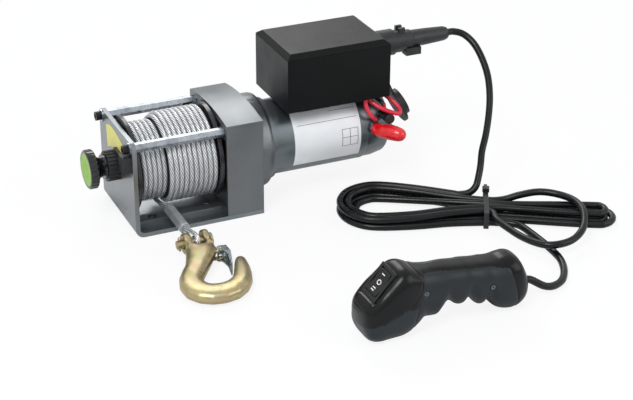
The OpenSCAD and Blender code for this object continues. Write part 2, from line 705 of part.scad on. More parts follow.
// Routes of the leads, from the box's floor to the studs, counted from the end cap's start on the drum axis
lead_a = [[-3, -33, 35.3], [-3, -33, 30.6], [-2, -37, 24.6], [2, -39, 18.6], [6, -35.6, 15.9],
  [6, -34.5, 12.8]];
lead_b = [[3, -30, 35.3], [3, -30, 31.6], [9, -38, 27.1], [17, -43, 23.6], [24, -44, 21.1],
  [27.5, -41, 22.1], [26.5, -35, 26.1], [22, -29, 30.6], [20, -26, 32.6], [20, -26, 35.3]];
lead_c = [[12, -22, 35.3], [12, -22, 30.6], [14, -29, 28.6], [16, -31, 26.1], [16, -30.8, 22.4]];
module motor_leads() {
  at_plate() translate([end_cap_x, 0, axis_z]) {
    color("#d8203f") tube(smooth(lead_a, 3), lead_d / 2, 8);
    color("#d8203f") tube(smooth(lead_b, 3), lead_d / 2, 8);
    color("#1e1e20") tube(smooth(lead_c, 3), lead_d / 2, 8);
  }
}

// Control box on a saddle over the motor
saddle_l = 60;
saddle_w = 40;
saddle_h = 12;
box_screw_d = 4.8;
box_screw_span = 40;
box_mid_x = box_x + box_l / 2;
module box_bracket() {
  color("#2a2b2d") at_plate() difference() {
    translate([box_mid_x - saddle_l / 2, -saddle_w / 2, box_floor_z - saddle_h]) cube([saddle_l, saddle_w,
      saddle_h]);
    on_axis(box_mid_x - saddle_l) cylinder(r = motor_r + seat, h = 2 * saddle_l);
    for (s = [-1, 1]) translate([box_mid_x + s * box_screw_span / 2, 0,
      box_floor_z - saddle_h]) cylinder(r = box_screw_d / 2 + seat, h = 2 * saddle_h);
  }
}
module box_screws() {
  color("#c0c4c8") at_plate() for (s = [-1, 1]) translate([box_mid_x + s * box_screw_span / 2, 0,
    box_floor_z + box_wall])
    cap_screw(box_screw_d, screw_head_share * box_screw_d, box_wall, box_wall + box_lift - gap);
}
socket_up = 35.4;
socket_z = box_floor_z + socket_up;
socket_y = 0;
module control_box() {
  color("#2a2a2c") at_plate() difference() {
    translate([box_x, -box_w / 2, box_floor_z]) cube([box_l, box_w, box_h]);
    translate([box_x + box_wall, -box_w / 2 + box_wall,
      box_floor_z + box_wall]) cube([box_l - 2 * box_wall, box_w - 2 * box_wall, box_h]);
    for (s = [-1, 1]) translate([box_mid_x + s * box_screw_span / 2, 0,
      box_floor_z - over]) cylinder(r = box_screw_d / 2 + seat, h = box_wall + 2 * over);
    translate([box_x + box_l - box_wall - over, socket_y, socket_z]) rotate([0, 90,
      0]) cylinder(r = socket_hole_r, h = box_wall + 2 * over);
  }
}
module box_lid() {
  color("#323234") at_plate() {
    intersection() {
      translate([box_x, 0, box_top_z]) across(box_w) polygon([[0, 0], [0, 0.2 * lid_h], [lid_bevel,
        lid_h], [box_l - lid_bevel, lid_h], [box_l, 0.2 * lid_h], [box_l, 0]]);
      translate([box_x, -box_w / 2, box_top_z]) along(box_l) polygon([[0, 0], [0, 0.2 * lid_h],
        [lid_bevel, lid_h], [box_w - lid_bevel, lid_h], [box_w, 0.2 * lid_h], [box_w, 0]]);
    }
    translate([box_x + box_wall + gap, -box_w / 2 + box_wall + gap, box_top_z - box_wall])
      cube([box_l - 2 * box_wall - 2 * gap, box_w - 2 * box_wall - 2 * gap, box_wall]);
  }
}
relay_clear = 0.6;
relay_h = 36;
relay_reach_share = 0.56;
screw_head_share = 1.7;
relay_r = (box_w / 2 - box_wall - screw_head_share * box_screw_d / 2) / 2 - relay_clear;
relay_y = box_w / 2 - box_wall - relay_clear - relay_r;
relay_reach = relay_reach_share * (box_l / 2 - box_wall - nut_t);
module relays() {
  color("#b8bcc0") at_plate() for (s = [-1, 1]) translate([box_mid_x + s * relay_reach, relay_y,
    box_floor_z + box_wall]) {
    cylinder(r = relay_r, h = relay_h);
    translate([0, -relay_r / 2, 0]) cylinder(r = relay_r / 5, h = relay_h + 2 * box_wall);
  }
}
// Socket in the box's right side, with the cord's plug in it
socket_hole_r = 7;
socket_plate_w = 25;
socket_plate_t = 2.4;
socket_wide_r = 12;
socket_wide_l = 19;
socket_l = 30;
socket_lug_l = 6;
socket_lug_w = 3;
pin_hole_r = 6.5;
pin_hole_l = 12;
plug_x = box_x + box_l + socket_l;
plug_r = 9;
plug_end_r = 6.6;
plug_neck_l = 7;
latch_w = 9;
latch_t = 7;
latch_l = 15;
module at_socket(x) { translate([x, socket_y, socket_z]) rotate([0, 90, 0]) children(); }
module socket() {
  x0 = box_x + box_l;
  color("#303133") at_plate() difference() {
    union() {
      at_socket(x0 - box_wall - nut_t) cylinder(r = socket_hole_r - seat, h = box_wall + nut_t);
      at_socket(x0 - box_wall - nut_t) hex_bar(2.6 * socket_hole_r, nut_t);
      translate([x0, socket_y - socket_plate_w / 2, socket_z - socket_plate_w / 2]) cube([socket_plate_t,
        socket_plate_w, socket_plate_w]);
      at_socket(x0) cylinder(r = socket_wide_r, h = socket_wide_l);
      at_socket(x0 + socket_wide_l) cylinder(r = socket_r, h = socket_l - socket_wide_l);
      for (s = [-1, 1]) translate([x0 + socket_l - socket_lug_l, s * socket_r / 3 - socket_lug_w / 2,
        socket_z]) cube([socket_lug_l, socket_lug_w, socket_r + socket_lug_w]);
      translate([x0, socket_y - hinge_l / 2, hinge_z - 2 * hinge_pin_r]) cube([hinge_x - x0, hinge_l,
        socket_z - socket_r - hinge_z]);
      translate([hinge_x, socket_y + hinge_l / 2, hinge_z]) rotate([90, 0,
        0]) cylinder(r = 2 * hinge_pin_r, h = hinge_l);
    }
    at_socket(x0 + socket_l - pin_hole_l) cylinder(r = pin_hole_r, h = pin_hole_l + over);
    translate([hinge_x, socket_y + hinge_l, hinge_z]) rotate([90, 0, 0]) cylinder(r = hinge_pin_r + run,
      h = 2 * hinge_l);
  }
}
module plug() {
  color("#37393b") at_plate() {
    at_socket(plug_x - pin_hole_l + gap) cylinder(r = pin_hole_r - run, h = pin_hole_l);
    at_socket(plug_x) rotate_extrude() polygon([[0, 0], [plug_r, 0], [plug_r, plug_neck_l], [plug_r - 1,
      plug_neck_l + 1],
      [plug_r - 1.4, plug_l * 0.5], [plug_end_r, plug_l * 0.9], [plug_end_r - 1, plug_l * 0.97],
        [cord_d / 2 + 1, plug_l], [0, plug_l]]);
    translate([plug_x, socket_y - plug_r, socket_z - plug_r - latch_t / 2]) cube([latch_l, latch_w,
      latch_t]);
  }
}
// Dust cap that hangs by its strap under the socket
cap_r = 18;
cap_t = 2.6;
cap_inner_r = 13;
cap_inner_t = 5;
cap_drop = 47;
cap_hang_lean = 25;
cap_clear = 8;
hinge_gap = 2.4;
hinge_drop = 9.6;
strap_t = 2;
strap_w = 9;
hinge_l = 9;
hinge_pin_r = 1.2;
hinge_ear_w = 3;
hinge_x = box_x + box_l + hinge_ear_w + hinge_gap;
hinge_z = socket_z - socket_r - hinge_drop;
// The strap leans out far enough to hang clear of the motor's end
cap_lean = max(cap_hang_lean, atan((motor_end_x + cap_clear - hinge_x) / (hinge_z - axis_z - motor_r)));
module dust_cap() {
  ear_y = hinge_l / 2 + gap;
  color("#1f2022") at_plate() translate([hinge_x, socket_y, hinge_z]) {
    translate([0, ear_y + hinge_ear_w, 0]) rotate([90, 0, 0]) cylinder(r = hinge_pin_r,
      h = 2 * (ear_y + hinge_ear_w));
    rotate([0, -cap_lean, 0]) {
      for (s = [-1, 1]) translate([0, s * (ear_y + hinge_ear_w / 2), 0]) {
        translate([0, hinge_ear_w / 2, 0]) rotate([90, 0, 0]) cylinder(r = 2 * hinge_pin_r,
          h = hinge_ear_w);
        translate([-strap_t / 2, -hinge_ear_w / 2, -strap_w]) cube([strap_t, hinge_ear_w, strap_w]);
      }
      translate([-strap_t / 2, -ear_y - hinge_ear_w, -cap_drop + cap_r / 2]) cube([strap_t,
        2 * (ear_y + hinge_ear_w), cap_drop - cap_r / 2 - hinge_l / 2]);
      translate([-strap_t / 2, 0, -cap_drop]) rotate([0, 90, 0]) {
        cylinder(r = cap_r, h = cap_t);
        ring(cap_inner_r, cap_inner_r - strap_t, cap_t + cap_inner_t);
      }
    }
  }
}

// Cord: its feed from the plug, the hank on the floor with its tie, and the tail to the handset
cord_r = cord_d / 2;
handset_x = 101;
handset_y = -266;
gland_z_share = 0.28;
// The hank lies in its own frame: u along it, v across, with the tie at its waist
hank_mid = [297, -131.5];
hank_turn = -28;
hank_step = cord_d + 0.65;
hank_lift = 0.9;
hank_waist = 2.5 * hank_step;
hank_left = [97, 34];
hank_right = [94, 22];
hank_loops = 5;
hank_low_loops = 3;
hank_z0 = cord_r + hank_lift;
// The last turn's right end swings over the others and out in front
loose_route = [[14, 12, 12], [28, 14, 16], [45, 16, 18.6], [62, 12, 18.6], [75, 1, 18.6], [81, -16, 18.4],
  [81, -33, 15],
  [77, -46, 12.5], [69, -58, 11.2], [58, -66, 11.2], [47, -67, 10.6], [36, -60, 9.6], [25, -49, 9.2], [15,
    -36, 9.6], [6, -24, 10.6]];
tail_route = [[272, -267, 8], [283, -265, 4.6], [295, -258, 3.4], [305, -245, 3.4],
  [312, -228, 3.4], [314, -210, 3.4], [314, -194, 3.4], [313, -178, 3.6], [311, -164, 4], [306, -157, 4.1]];
// Side offset of a run between an end arc's radius and the waist; f goes from 0 at the arc to 1
function run_v(r, f) = mix(r, hank_waist, ease(f));
function row_at(k, i) = k < hank_low_loops ? k + ease((i - 12) / 3) - (k == hank_low_loops - 1 ? ease((i -
  12) / 3) : 0)
  : 2 * hank_low_loops - 1 - k - ease(i / 3);
function level_at(k, i) = k < hank_low_loops - 1 ? 0 : k == hank_low_loops - 1 ? ease((i - 9) / 3) : 1;
// Point i of 24 on loop k: the front run goes left, the left arc, the back run goes right, the right arc
function hank_at(k, i) = let(d = hank_step * row_at(k, i), z = hank_z0 + hank_step * level_at(k, i))
  i < 3 ? [-hank_left[0] * i / 3, d - run_v(hank_left[1], 1 - i / 3), z]
  : i < 10 ? let(a = -90 - 30 * (i - 3)) [-hank_left[0] + (hank_left[1] - d) * cos(a),
    (hank_left[1] - d) * sin(a), z]
  : i < 13 ? [-hank_left[0] * (12 - i) / 3, run_v(hank_left[1], (i - 9) / 3) - d, z]
  : i < 15 ? [hank_right[0] * (i - 12) / 3, run_v(hank_right[1], (15 - i) / 3) - d, z]
  : i < 22 ? let(a = 90 - 30 * (i - 15)) [hank_right[0] + (hank_right[1] - d) * cos(a),
    (hank_right[1] - d) * sin(a), z]
  : [hank_right[0] * (24 - i) / 3, d - run_v(hank_right[1], (i - 21) / 3), z];
hank_path = concat([hank_at(0, 0) + [cord_d, 0, 0]], [for (k = [0:hank_loops - 2],
  i = [0:k == hank_loops - 2 ? 12 : 23]) hank_at(k, i)],
  loose_route, [for (i = [0:11]) hank_at(hank_loops - 1, i)]);
echo(hank_gap = least_gap(hank_path, cord_r, 4));
module at_hank() { at_plate() translate([hank_mid[0], hank_mid[1], 0]) rotate([0, 0,
  hank_turn]) children(); }
// A point of the hank in the plate's frame, and the way that its cord leaves its two ends
function hank_out(p) = [hank_mid[0] + p[0] * cos(hank_turn) - p[1] * sin(hank_turn),
  hank_mid[1] + p[0] * sin(hank_turn) + p[1] * cos(hank_turn), p[2]];
hank_start = hank_out(hank_path[0]);
hank_start_way = unit(hank_start - hank_out(hank_path[1]));
hank_end = hank_out(hank_path[len(hank_path) - 1]);
hank_end_way = unit(hank_end - hank_out(hank_path[len(hank_path) - 2]));
plug_end = [plug_x + plug_l + seat, socket_y, socket_z];
// The feed's bow beside the straight line from the plug to the hank's middle
feed_bow = [[14.95, -4, -2.5], [23.14, -1.05, 2.18], [27.32, -2.09, 3.36], [28.51, -4.14, 2.55],
  [25.7, -6.18, 0.73], [20.88, -6.23, -1.09], [14.07, -6.27, -2.91], [7.25, -4.32, -2.73],
  [3.44, -1.36, -0.55], [0.63, 4.59, 3.14], [-2.19, 12.05, 7.82], [-6, 24.5, 14]];
feed_last = len(feed_bow) - 1;
feed_route = [for (i = [0:feed_last]) feed_bow[i] + mix(plug_end, [hank_mid[0], hank_mid[1], 0],
  i / feed_last)];
handset_end = [handset_x + handset_l + seat, handset_y, handset_h * gland_z_share];
// A free run of cord between two ends, straight for one diameter at each
function free_run(a, way_a, pts, b, way_b, n) = concat([a], smooth(concat([a + cord_d * way_a], pts,
  [b + cord_d * way_b]), n), [b]);
module cord_feed() {
  color("#23272a") at_plate() tube(free_run(plug_end, [1, 0, 0], feed_route, hank_end, hank_end_way, 2),
    cord_r, 8);
}
module cord_tail() {
  color("#23272a") at_plate() tube(free_run(handset_end, [1, 0, 0], tail_route, hank_start,
    hank_start_way, 2), cord_r, 8);
}
module cord_hank() { color("#23272a") at_hank() tube(hank_path, cord_r, 6); }
tie_w = 4.5;
tie_t = 0.8;
module cord_tie() {
  half_w = hank_waist + cord_r + 3 * gap;
  top_z = hank_z0 + hank_step + cord_r + gap;
  color("#111213") at_hank() translate([-tie_w, 0, 0]) {
    difference() {
      translate([0, -half_w - tie_t, 0]) cube([tie_w, 2 * (half_w + tie_t), top_z + tie_t]);
      translate([-over, -half_w, tie_t]) cube([tie_w + 2 * over, 2 * half_w, top_z - tie_t]);
    }
    translate([-tie_t, half_w - tie_w, top_z + tie_t]) cube([tie_w + 2 * tie_t, tie_w + 2 * tie_t,
      tie_w - tie_t]);
    translate([tie_t, half_w, top_z + 2 * tie_t]) cube([tie_w - 2 * tie_t, 2 * tie_w, tie_t]);
  }
}

// Rope end: the tail over the base, the ferrule and the eye round the hook's pin
tail_x = 31;
tail_z = axis_z - low_layer_r - rope_d - gap - 0.1;
ferrule_start = [37, -26, 12.6];
ferrule_end = [38.4, -62, 10.2];
ferrule_r = 4.9;
eye_r = 7.4;
pin_z = 10;
ferrule_way = unit(ferrule_end - ferrule_start);
tail_points = [[tail_x, 4, tail_z], [tail_x, -3, tail_z], [31.8, -10, 13.8], [33.6, -16, 13.2]];
module rope_tail() {
  color("#a9adb0") at_plate()
    tube(concat(smooth(concat(tail_points, [ferrule_start - 1.5 * rope_d * ferrule_way]), 2),
      [ferrule_start]), rope_d / 2, 8);
}
module ferrule() {
  d = ferrule_end - ferrule_start;
  color("#8f979e") at_plate() {
    translate(ferrule_start) rotate([acos(d[2] / norm(d)), 0, atan2(d[1],
      d[0]) + 90]) hex_bar(2 * ferrule_r, norm(d));
  }
}
eye_rings = 16;
eye_end = -ferrule_end[1] + 2 * gap;
eye_line = concat([[rope_x, -eye_end, pin_z + rope_d * 0.45], [rope_x, -eye_end - rope_d,
  pin_z + rope_d * 0.6]],
  [for (k = [0:eye_rings]) let(a = 65 + (360 - 130) * k / eye_rings)
    [rope_x, -pin_reach + eye_r * cos(a), pin_z + eye_r * sin(a)]],
  [[rope_x, -eye_end - rope_d, pin_z - rope_d * 0.6], [rope_x, -eye_end, pin_z - rope_d * 0.45]]);
module rope_eye() {
  color("#a9adb0") at_plate() {
    tube(eye_line, rope_d / 2, 8);
    translate([rope_x - rope_d / 2, -pin_reach, pin_z]) rotate([0, 90,
      0]) ring(eye_r - rope_d / 2 + 2 * seat, pin_r + run, rope_d);
  }
}

// Hook: a forged clevis hook that lies flat, its pin through the rope's eye
ear_r = 9.4;
ear_t = 6.2;
ear_gap = 5.3;
ear_clear_r = 10.4;
pin_head_r = 5.6;
pin_head_t = 2.6;
split_pin_r = 1.1;
hook_sides = 16;
hook_z = hook_t / 2 + gap;
// Stations of the hook's blade from the clevis to the tip: place, width and share of the thickness
hook_stations = [[38.5, -99, 25, 0.9], [37, -104, 27, 0.96], [34.5, -110, 25, 1], [30, -118, 22.4, 1],
  [24.9, -126.5, 20, 1],
  [19, -134.5, 20, 1], [14.4, -142, 20.4, 1], [12, -150.5, 21.4, 1], [13, -159, 23, 1], [17, -165.4, 23,
    1], [23, -169.4, 22.8, 1],
  [31, -171, 22.4, 1], [40, -169.6, 21, 1], [47.2, -165, 19.2, 1], [52.6, -158.6, 17.4, 1], [56.4, -150,
    15.6, 0.98],
  [59.4, -141, 13.6, 0.92], [61.6, -133, 11.4, 0.84], [63, -127.6, 9, 0.74], [63.6, -124.4, 5.6, 0.5]];
hook_raise_share = 0.28;
module blade(st) {
  line = [for (i = [0:len(st) - 1]) [st[i][0], st[i][1], mix(pin_z, hook_z,
    ease(i / len(st) / hook_raise_share))]];
  skin([for (i = [0:len(st) - 1]) let(t = heading(line, i), n = unit(cross([0, 0, 1], t)))
    [for (k = [0:hook_sides - 1]) let(q = squarish(360 * k / hook_sides, st[i][2] / 2,
      hook_t / 2 * st[i][3])) line[i] + q[0] * n + [0, 0, q[1]]]]);
}
module at_pin() { translate([rope_x, -pin_reach, pin_z]) children(); }
module hook() {
  color("#b9a060") at_plate() difference() {
    union() {
      at_pin() for (s = [-1, 1]) translate([s * (ear_gap + ear_t / 2) - ear_t / 2, 0, 0]) {
        rotate([0, 90, 0]) cylinder(r = ear_r, h = ear_t);
        translate([0, -ear_clear_r - 4, -hook_t / 2]) cube([ear_t, ear_clear_r + 4, hook_t]);
      }
      blade(hook_stations);
      // Lugs over and under the latch's pin
      for (z = [hook_z - latch_lug_span, hook_z + latch_lug_span - latch_lug_t]) translate([latch_pin_x,
        latch_pin_y, z]) {
        cylinder(r = latch_lug_r, h = latch_lug_t);
        translate([-latch_lug_reach, -latch_lug_r, 0]) cube([latch_lug_reach, 2 * latch_lug_r,
          latch_lug_t]);
      }
      translate([latch_pin_x, latch_pin_y, hook_z - latch_h / 2]) cylinder(r = latch_pin_r,
        h = latch_h + latch_sheet);
    }
    at_pin() translate([-2 * ear_t - ear_gap, 0, 0]) rotate([0, 90, 0]) cylinder(r = pin_r + run,
      h = 4 * ear_t + 2 * ear_gap);
    at_pin() translate([-ear_gap, 0, 0]) rotate([0, 90, 0]) cylinder(r = ear_clear_r, h = 2 * ear_gap);
  }
}
module hook_pin() {
  l = 2 * (ear_gap + ear_t);
  color("#d2d6da") at_plate() at_pin() {
    translate([-l / 2 - 2 * pin_head_t, 0, 0]) rotate([0, 90, 0]) cylinder(r = pin_r,
      h = l + 2 * pin_head_t + gap);
    translate([l / 2 + gap, 0, 0]) rotate([0, 90, 0]) cylinder(r = pin_head_r, h = pin_head_t);
    translate([-l / 2 - pin_head_t, 0, -pin_head_r]) cylinder(r = split_pin_r, h = 2 * pin_head_r);
    translate([-l / 2 - pin_head_t, 0, pin_head_r]) sphere(r = 1.6 * split_pin_r);
  }
}
// Latch: a folded strip on its own pin at the hook's side, held against the tip by a spring
latch_pin_x = 52.6;
latch_pin_y = -109.5;
latch_pin_r = 1.5;
latch_lug_r = 3.4;
latch_lug_t = 1.4;
latch_lug_span = 4.6;
latch_lug_reach = 8;
latch_sheet = 1.3;
latch_reach = 28;
latch_h = 12.4;
latch_ear_r = 3.4;
latch_web_x = 4.3;
spring_wire = 1.2;
spring_r = 2.6;
spring_turns = 2.5;
spring_rings = 8;
module hook_latch() {
  z0 = hook_z - latch_h / 2;
  tip = [[-1.6, -latch_reach], [-0.2, -latch_reach]];
  color("#aeb6c4") at_plate() translate([latch_pin_x, latch_pin_y, 0]) difference() {
    union() {
      for (z = [z0, z0 + latch_h - latch_sheet]) translate([0, 0, z]) {
        cylinder(r = latch_ear_r, h = latch_sheet);
        linear_extrude(latch_sheet) polygon([[0, -latch_ear_r], [0, latch_ear_r], [latch_web_x,
          latch_ear_r * 0.7],
          [latch_web_x + latch_sheet * 0.4, -latch_reach * 0.3], [tip[0][0] + 0.6, -latch_reach * 0.92],
            [latch_sheet, -latch_reach * 0.5]]);
      }
      translate([0, 0, z0]) linear_extrude(latch_h) polygon([[latch_web_x, latch_ear_r * 0.7],
        [latch_web_x + latch_sheet, latch_ear_r * 0.7],
        [latch_web_x + latch_sheet * 1.3, -latch_reach * 0.3], tip[1], tip[0],
          [latch_web_x + latch_sheet * 0.3, -latch_reach * 0.3]]);
    }
    cylinder(r = latch_pin_r + run, h = 2 * hook_t);
  }
}
spring_l = 2 * (latch_lug_span - latch_lug_t - gap) - spring_wire;
spring_n = spring_turns * spring_rings;
spring_line = [for (i = [0:spring_n]) let(a = 360 * i / spring_rings - 90)
  [latch_pin_x + spring_r * cos(a), latch_pin_y + spring_r * sin(a),
    hook_z - spring_l / 2 + spring_l * i / spring_n]];
echo(spring_gap = least_gap(spring_line, spring_wire / 2, spring_rings / 2));
module latch_spring() {
  color("#c4c8cc") at_plate() tube(spring_line, spring_wire / 2, 6);
}

// Handset: stations along its length with the underside, the top and the half width as shares
station_shares = [[0.028, 0.22, 0.4, 0.5], [0.036, 0.13, 0.47, 0.7], [0.052, 0.055, 0.54, 0.86], [0.08,
  0.015, 0.62, 0.95],
  [0.115, 0, 0.71, 1], [0.155, 0, 0.8, 1], [0.195, 0, 0.89, 1], [0.235, 0, 0.955, 1], [0.27, 0.015, 0.965,
    0.98],
  [0.3, 0.045, 0.94, 0.95], [0.335, 0.1, 0.905, 0.9], [0.37, 0.17, 0.88, 0.86], [0.41, 0.165, 0.86, 0.84],
    [0.445, 0.165, 0.85, 0.83],
  [0.47, 0.23, 0.845, 0.82], [0.5, 0.31, 0.84, 0.81], [0.53, 0.31, 0.835, 0.81], [0.565, 0.25, 0.825,
    0.82], [0.6, 0.24, 0.815, 0.82],
  [0.63, 0.3, 0.81, 0.82], [0.66, 0.26, 0.8, 0.83], [0.69, 0.18, 0.79, 0.84], [0.72, 0.17, 0.78, 0.85],
    [0.75, 0.24, 0.77, 0.86],
  [0.785, 0.11, 0.765, 0.88], [0.82, 0.045, 0.765, 0.9], [0.86, 0.01, 0.78, 0.91], [0.9, 0, 0.78, 0.9],
    [0.935, 0.02, 0.73, 0.86],
  [0.965, 0.08, 0.6, 0.76], [0.988, 0.16, 0.44, 0.56], [1, 0.22, 0.34, 0.3]];
handset_sides = 20;
handset_wall = 2.4;
grip_t = 1.2;
// A rounded square's point at angle a, for half width w and half height h
round_power = 2.7;
head_power = 3.8;
function squarish(a, w, h, e = round_power) = let(c = cos(a), s = sin(a), k = pow(pow(abs(c),
  e) + pow(abs(s), e), -1 / e)) [k * c * w, k * s * h];
function handset_ring(q, inset) = let(lo = handset_h * q[1] + inset, hi = handset_h * q[2] - inset,
  w = max(1, handset_t / 2 * q[3] - inset))
  [for (k = [0:handset_sides - 1]) let(p = squarish(360 * k / handset_sides, w, (hi - lo) / 2,
    mix(head_power, round_power, ease((q[0] - 0.2) * 5))))
    [handset_x + handset_l * q[0], handset_y + p[0], (lo + hi) / 2 + p[1]]];
// A closed skin over rings of points
module skin(rings) {
  n = len(rings[0]);
  m = len(rings);
  walls = [for (i = [0:m - 2], k = [0:n - 1]) let(a = i * n + k, b = i * n + (k + 1) % n) each [[a, a + n,
    b], [b, a + n, b + n]]];
  ends = [for (k = [1:n - 2]) each [[0, k, k + 1], [(m - 1) * n, (m - 1) * n + k + 1, (m - 1) * n + k]]];
  polyhedron([for (r = rings) each r], concat(walls, ends));
}
module handset_shape() { skin([for (q = station_shares) handset_ring(q, 0)]); }
module handset_cavity() { skin([for (i = [3:2:len(station_shares) - 4]) handset_ring(station_shares[i],
  handset_wall)]); }
module handset_half(side) {
  translate([handset_x - over, side < 0 ? handset_y - handset_t : handset_y,
    -over]) cube([handset_l + 2 * over, handset_t, handset_h + 2 * over]);
}
// The switch stands square on the sloping face
face_x_share = 0.145;
face_z_share = 0.765;
face_lean = 49;
rocker_l = 21.5;
rocker_w = 16.5;
rocker_top_share = 0.95;
rocker_pin_out = 1.1;
bezel_lip = 1.4;
switch_wall = 1.4;
rocker_pivot_r = 1.4;
bezel_l = 28;
bezel_w = 23;
bezel_t = 1.6;
switch_depth = 15;
module at_face() {
  translate([handset_x + handset_l * face_x_share, handset_y, handset_h * face_z_share]) rotate([0,
    -face_lean, 0]) children();
}
module plate_box(l, w, z0, z1) { translate([-l / 2, -w / 2, z0]) cube([l, w, z1 - z0]); }
// Panel of the grip, let into both sides of the shells
panel_outline_share = [[0.355, 0.86], [0.6, 0.79], [0.8, 0.72], [0.87, 0.6], [0.87, -0.1], [0.33, -0.1]];
module panel_region() {
  translate([handset_x, handset_y, 0]) across(2 * handset_t) polygon([for (q = panel_outline_share)
    [handset_l * q[0], handset_h * q[1]]]);
}
module handset_inner() { skin([for (q = station_shares) handset_ring(q, grip_t)]); }
module panel_layer() {
  intersection() {
    difference() {
      handset_shape();
      handset_inner();
    }
    panel_region();
  }
}
screw_r = 1.9;
screw_places_share = [[0.365, 0.6], [0.755, 0.47]];
module screw_at(q, side) {
  translate([handset_x + handset_l * q[0], handset_y + side * handset_t * 0.3,
    handset_h * q[1]]) rotate([side * -90, 0, 0]) children();
}
module handset_shell(side) {
  intersection() {
    difference() {
      handset_shape();
      handset_cavity();
      difference() {
        panel_region();
        handset_inner();
      }
      at_face() plate_box(bezel_l, bezel_w, -bezel_t, 3 * bezel_t);
      at_face() plate_box(bezel_l - 2 * bezel_lip, bezel_w - 2 * bezel_lip, -switch_depth, bezel_t);
      for (q = screw_places_share) screw_at(q, -1) cylinder(r = screw_r + seat, h = handset_t);
    }
    handset_half(side);
  }
}
module handset_front() { color("#3a3a3c") at_plate() handset_shell(-1); }
module handset_rear() { color("#39393b") at_plate() handset_shell(1); }
module finger_grip() {
  color("#2c3539") at_plate() difference() {
    panel_layer();
    for (q = screw_places_share) screw_at(q, -1) cylinder(r = 1.8 * screw_r, h = handset_t);
  }
}
module handset_screws() {
  color("#85898c") at_plate() for (q = screw_places_share) screw_at(q, -1) difference() {
    cylinder(r = screw_r, h = handset_t * 0.11);
    translate([0, 0, handset_t * 0.11 - screw_r / 2]) hex_bar(screw_r, screw_r);
  }
}
module switch_bezel() {
  color("#1d1e1f") at_plate() at_face() difference() {
    plate_box(bezel_l - 2 * seat, bezel_w - 2 * seat, -bezel_t, bezel_t / 2);
    plate_box(rocker_l + 2 * gap, rocker_w + 2 * gap, -2 * bezel_t, 2 * bezel_t);
  }
}
module switch_body() {
  color("#2a2b2c") at_plate() at_face() difference() {
    plate_box(rocker_l + 2 * switch_wall, rocker_w + 2 * switch_wall, -switch_depth + gap, -bezel_t);
    plate_box(rocker_l + 2 * gap, rocker_w + 2 * gap, -switch_depth / 2, 0);
    translate([0, rocker_w, -bezel_t - 2 * rocker_pivot_r]) rotate([90, 0,
      0]) cylinder(r = rocker_pivot_r + run, h = 2 * rocker_w);
  }
}
rocker_rise = 1.6;
module rocker() {
  half = rocker_l / 2 - gap;
  color("#1b1c1d") at_plate() at_face() {
    translate([0, rocker_w / 2, 0]) rotate([90, 0,
      0]) linear_extrude(rocker_w) polygon([[-half * rocker_top_share, rocker_rise], [-half * 0.1, 0],
      [half * 0.1, 0], [half * rocker_top_share, rocker_rise], [half * 0.9, -2 * bezel_t], [half * 0.3,
        -switch_depth * 0.4], [-half * 0.3, -switch_depth * 0.4], [-half * 0.9, -2 * bezel_t]]);
    translate([0, rocker_w / 2 + rocker_pin_out, -bezel_t - 2 * rocker_pivot_r]) rotate([90, 0,
      0]) cylinder(r = rocker_pivot_r, h = rocker_w + 2 * rocker_pin_out);
  }
}

base_frame();
mounting_bars();
tie_bars();
frame_screws();
frame_washers();
clutch_housing();
drum_bushes();
gear_housing();
ring_gear();
motor_flange();
motor_can();
motor_end_cap();
motor_magnets();
brush_holder();
brushes();
motor_bearings();
motor_bolts();
terminals();
terminal_boots();
motor_leads();
box_bracket();
control_box();
box_lid();
relays();
box_screws();
socket();
plug();
cord_feed();
cord_hank();
cord_tie();
cord_tail();
handset_front();
handset_rear();
finger_grip();
switch_bezel();
switch_body();
handset_screws();
rocker();
rope_tail();
ferrule();
rope_eye();
hook();
hook_pin();
hook_latch();
latch_spring();
drum();
rope_winding();
drum_carrier();
drum_planet_a();
drum_planet_b();
drum_planet_c();
motor_carrier();
motor_planet_a();
motor_planet_b();
motor_planet_c();
armature();
clutch_rod();
clutch_knob();
knob_disc();
dust_cap();
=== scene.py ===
"""Electric recovery winch, dressed over its solids: camera, light, then piece by piece."""
import bpy, bmesh, json, math
import numpy as np
from mathutils import Matrix, Vector


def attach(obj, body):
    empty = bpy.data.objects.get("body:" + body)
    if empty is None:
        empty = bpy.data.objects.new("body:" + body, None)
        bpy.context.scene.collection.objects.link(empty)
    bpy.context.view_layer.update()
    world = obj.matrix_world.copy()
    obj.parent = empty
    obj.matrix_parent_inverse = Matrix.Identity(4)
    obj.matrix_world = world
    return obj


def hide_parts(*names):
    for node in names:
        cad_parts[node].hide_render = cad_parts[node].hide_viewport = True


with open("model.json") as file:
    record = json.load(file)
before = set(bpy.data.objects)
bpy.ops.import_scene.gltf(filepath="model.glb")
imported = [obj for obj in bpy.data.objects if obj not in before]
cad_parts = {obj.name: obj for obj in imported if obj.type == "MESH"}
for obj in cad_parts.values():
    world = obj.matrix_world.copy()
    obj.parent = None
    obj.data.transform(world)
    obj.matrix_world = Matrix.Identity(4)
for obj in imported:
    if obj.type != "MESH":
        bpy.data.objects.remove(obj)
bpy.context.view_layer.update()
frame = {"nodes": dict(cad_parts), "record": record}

# Studio. The camera looks down on the rope side from the left, as a catalogue view does. A pale
# floor and a white surround light the winch evenly, with one large soft lamp high on the left.
FOCAL_PX, WIDE_PX = 1660.0, 633
FILM_MM = 36
CAMERA_PLACE = (-0.423, -1.250, 0.687)
# The camera's own right, up and backward directions, a row each
CAMERA_AXES = np.array([[0.911901, -0.410383, 0.004725],
                        [0.184798, 0.420861, 0.888102],
                        [-0.366451, -0.808988, 0.459622]])


def shown(name, data):
    """A new object in the scene with that camera, lamp, mesh or curve."""
    o = bpy.data.objects.new(name, data)
    bpy.context.scene.collection.objects.link(o)
    return o


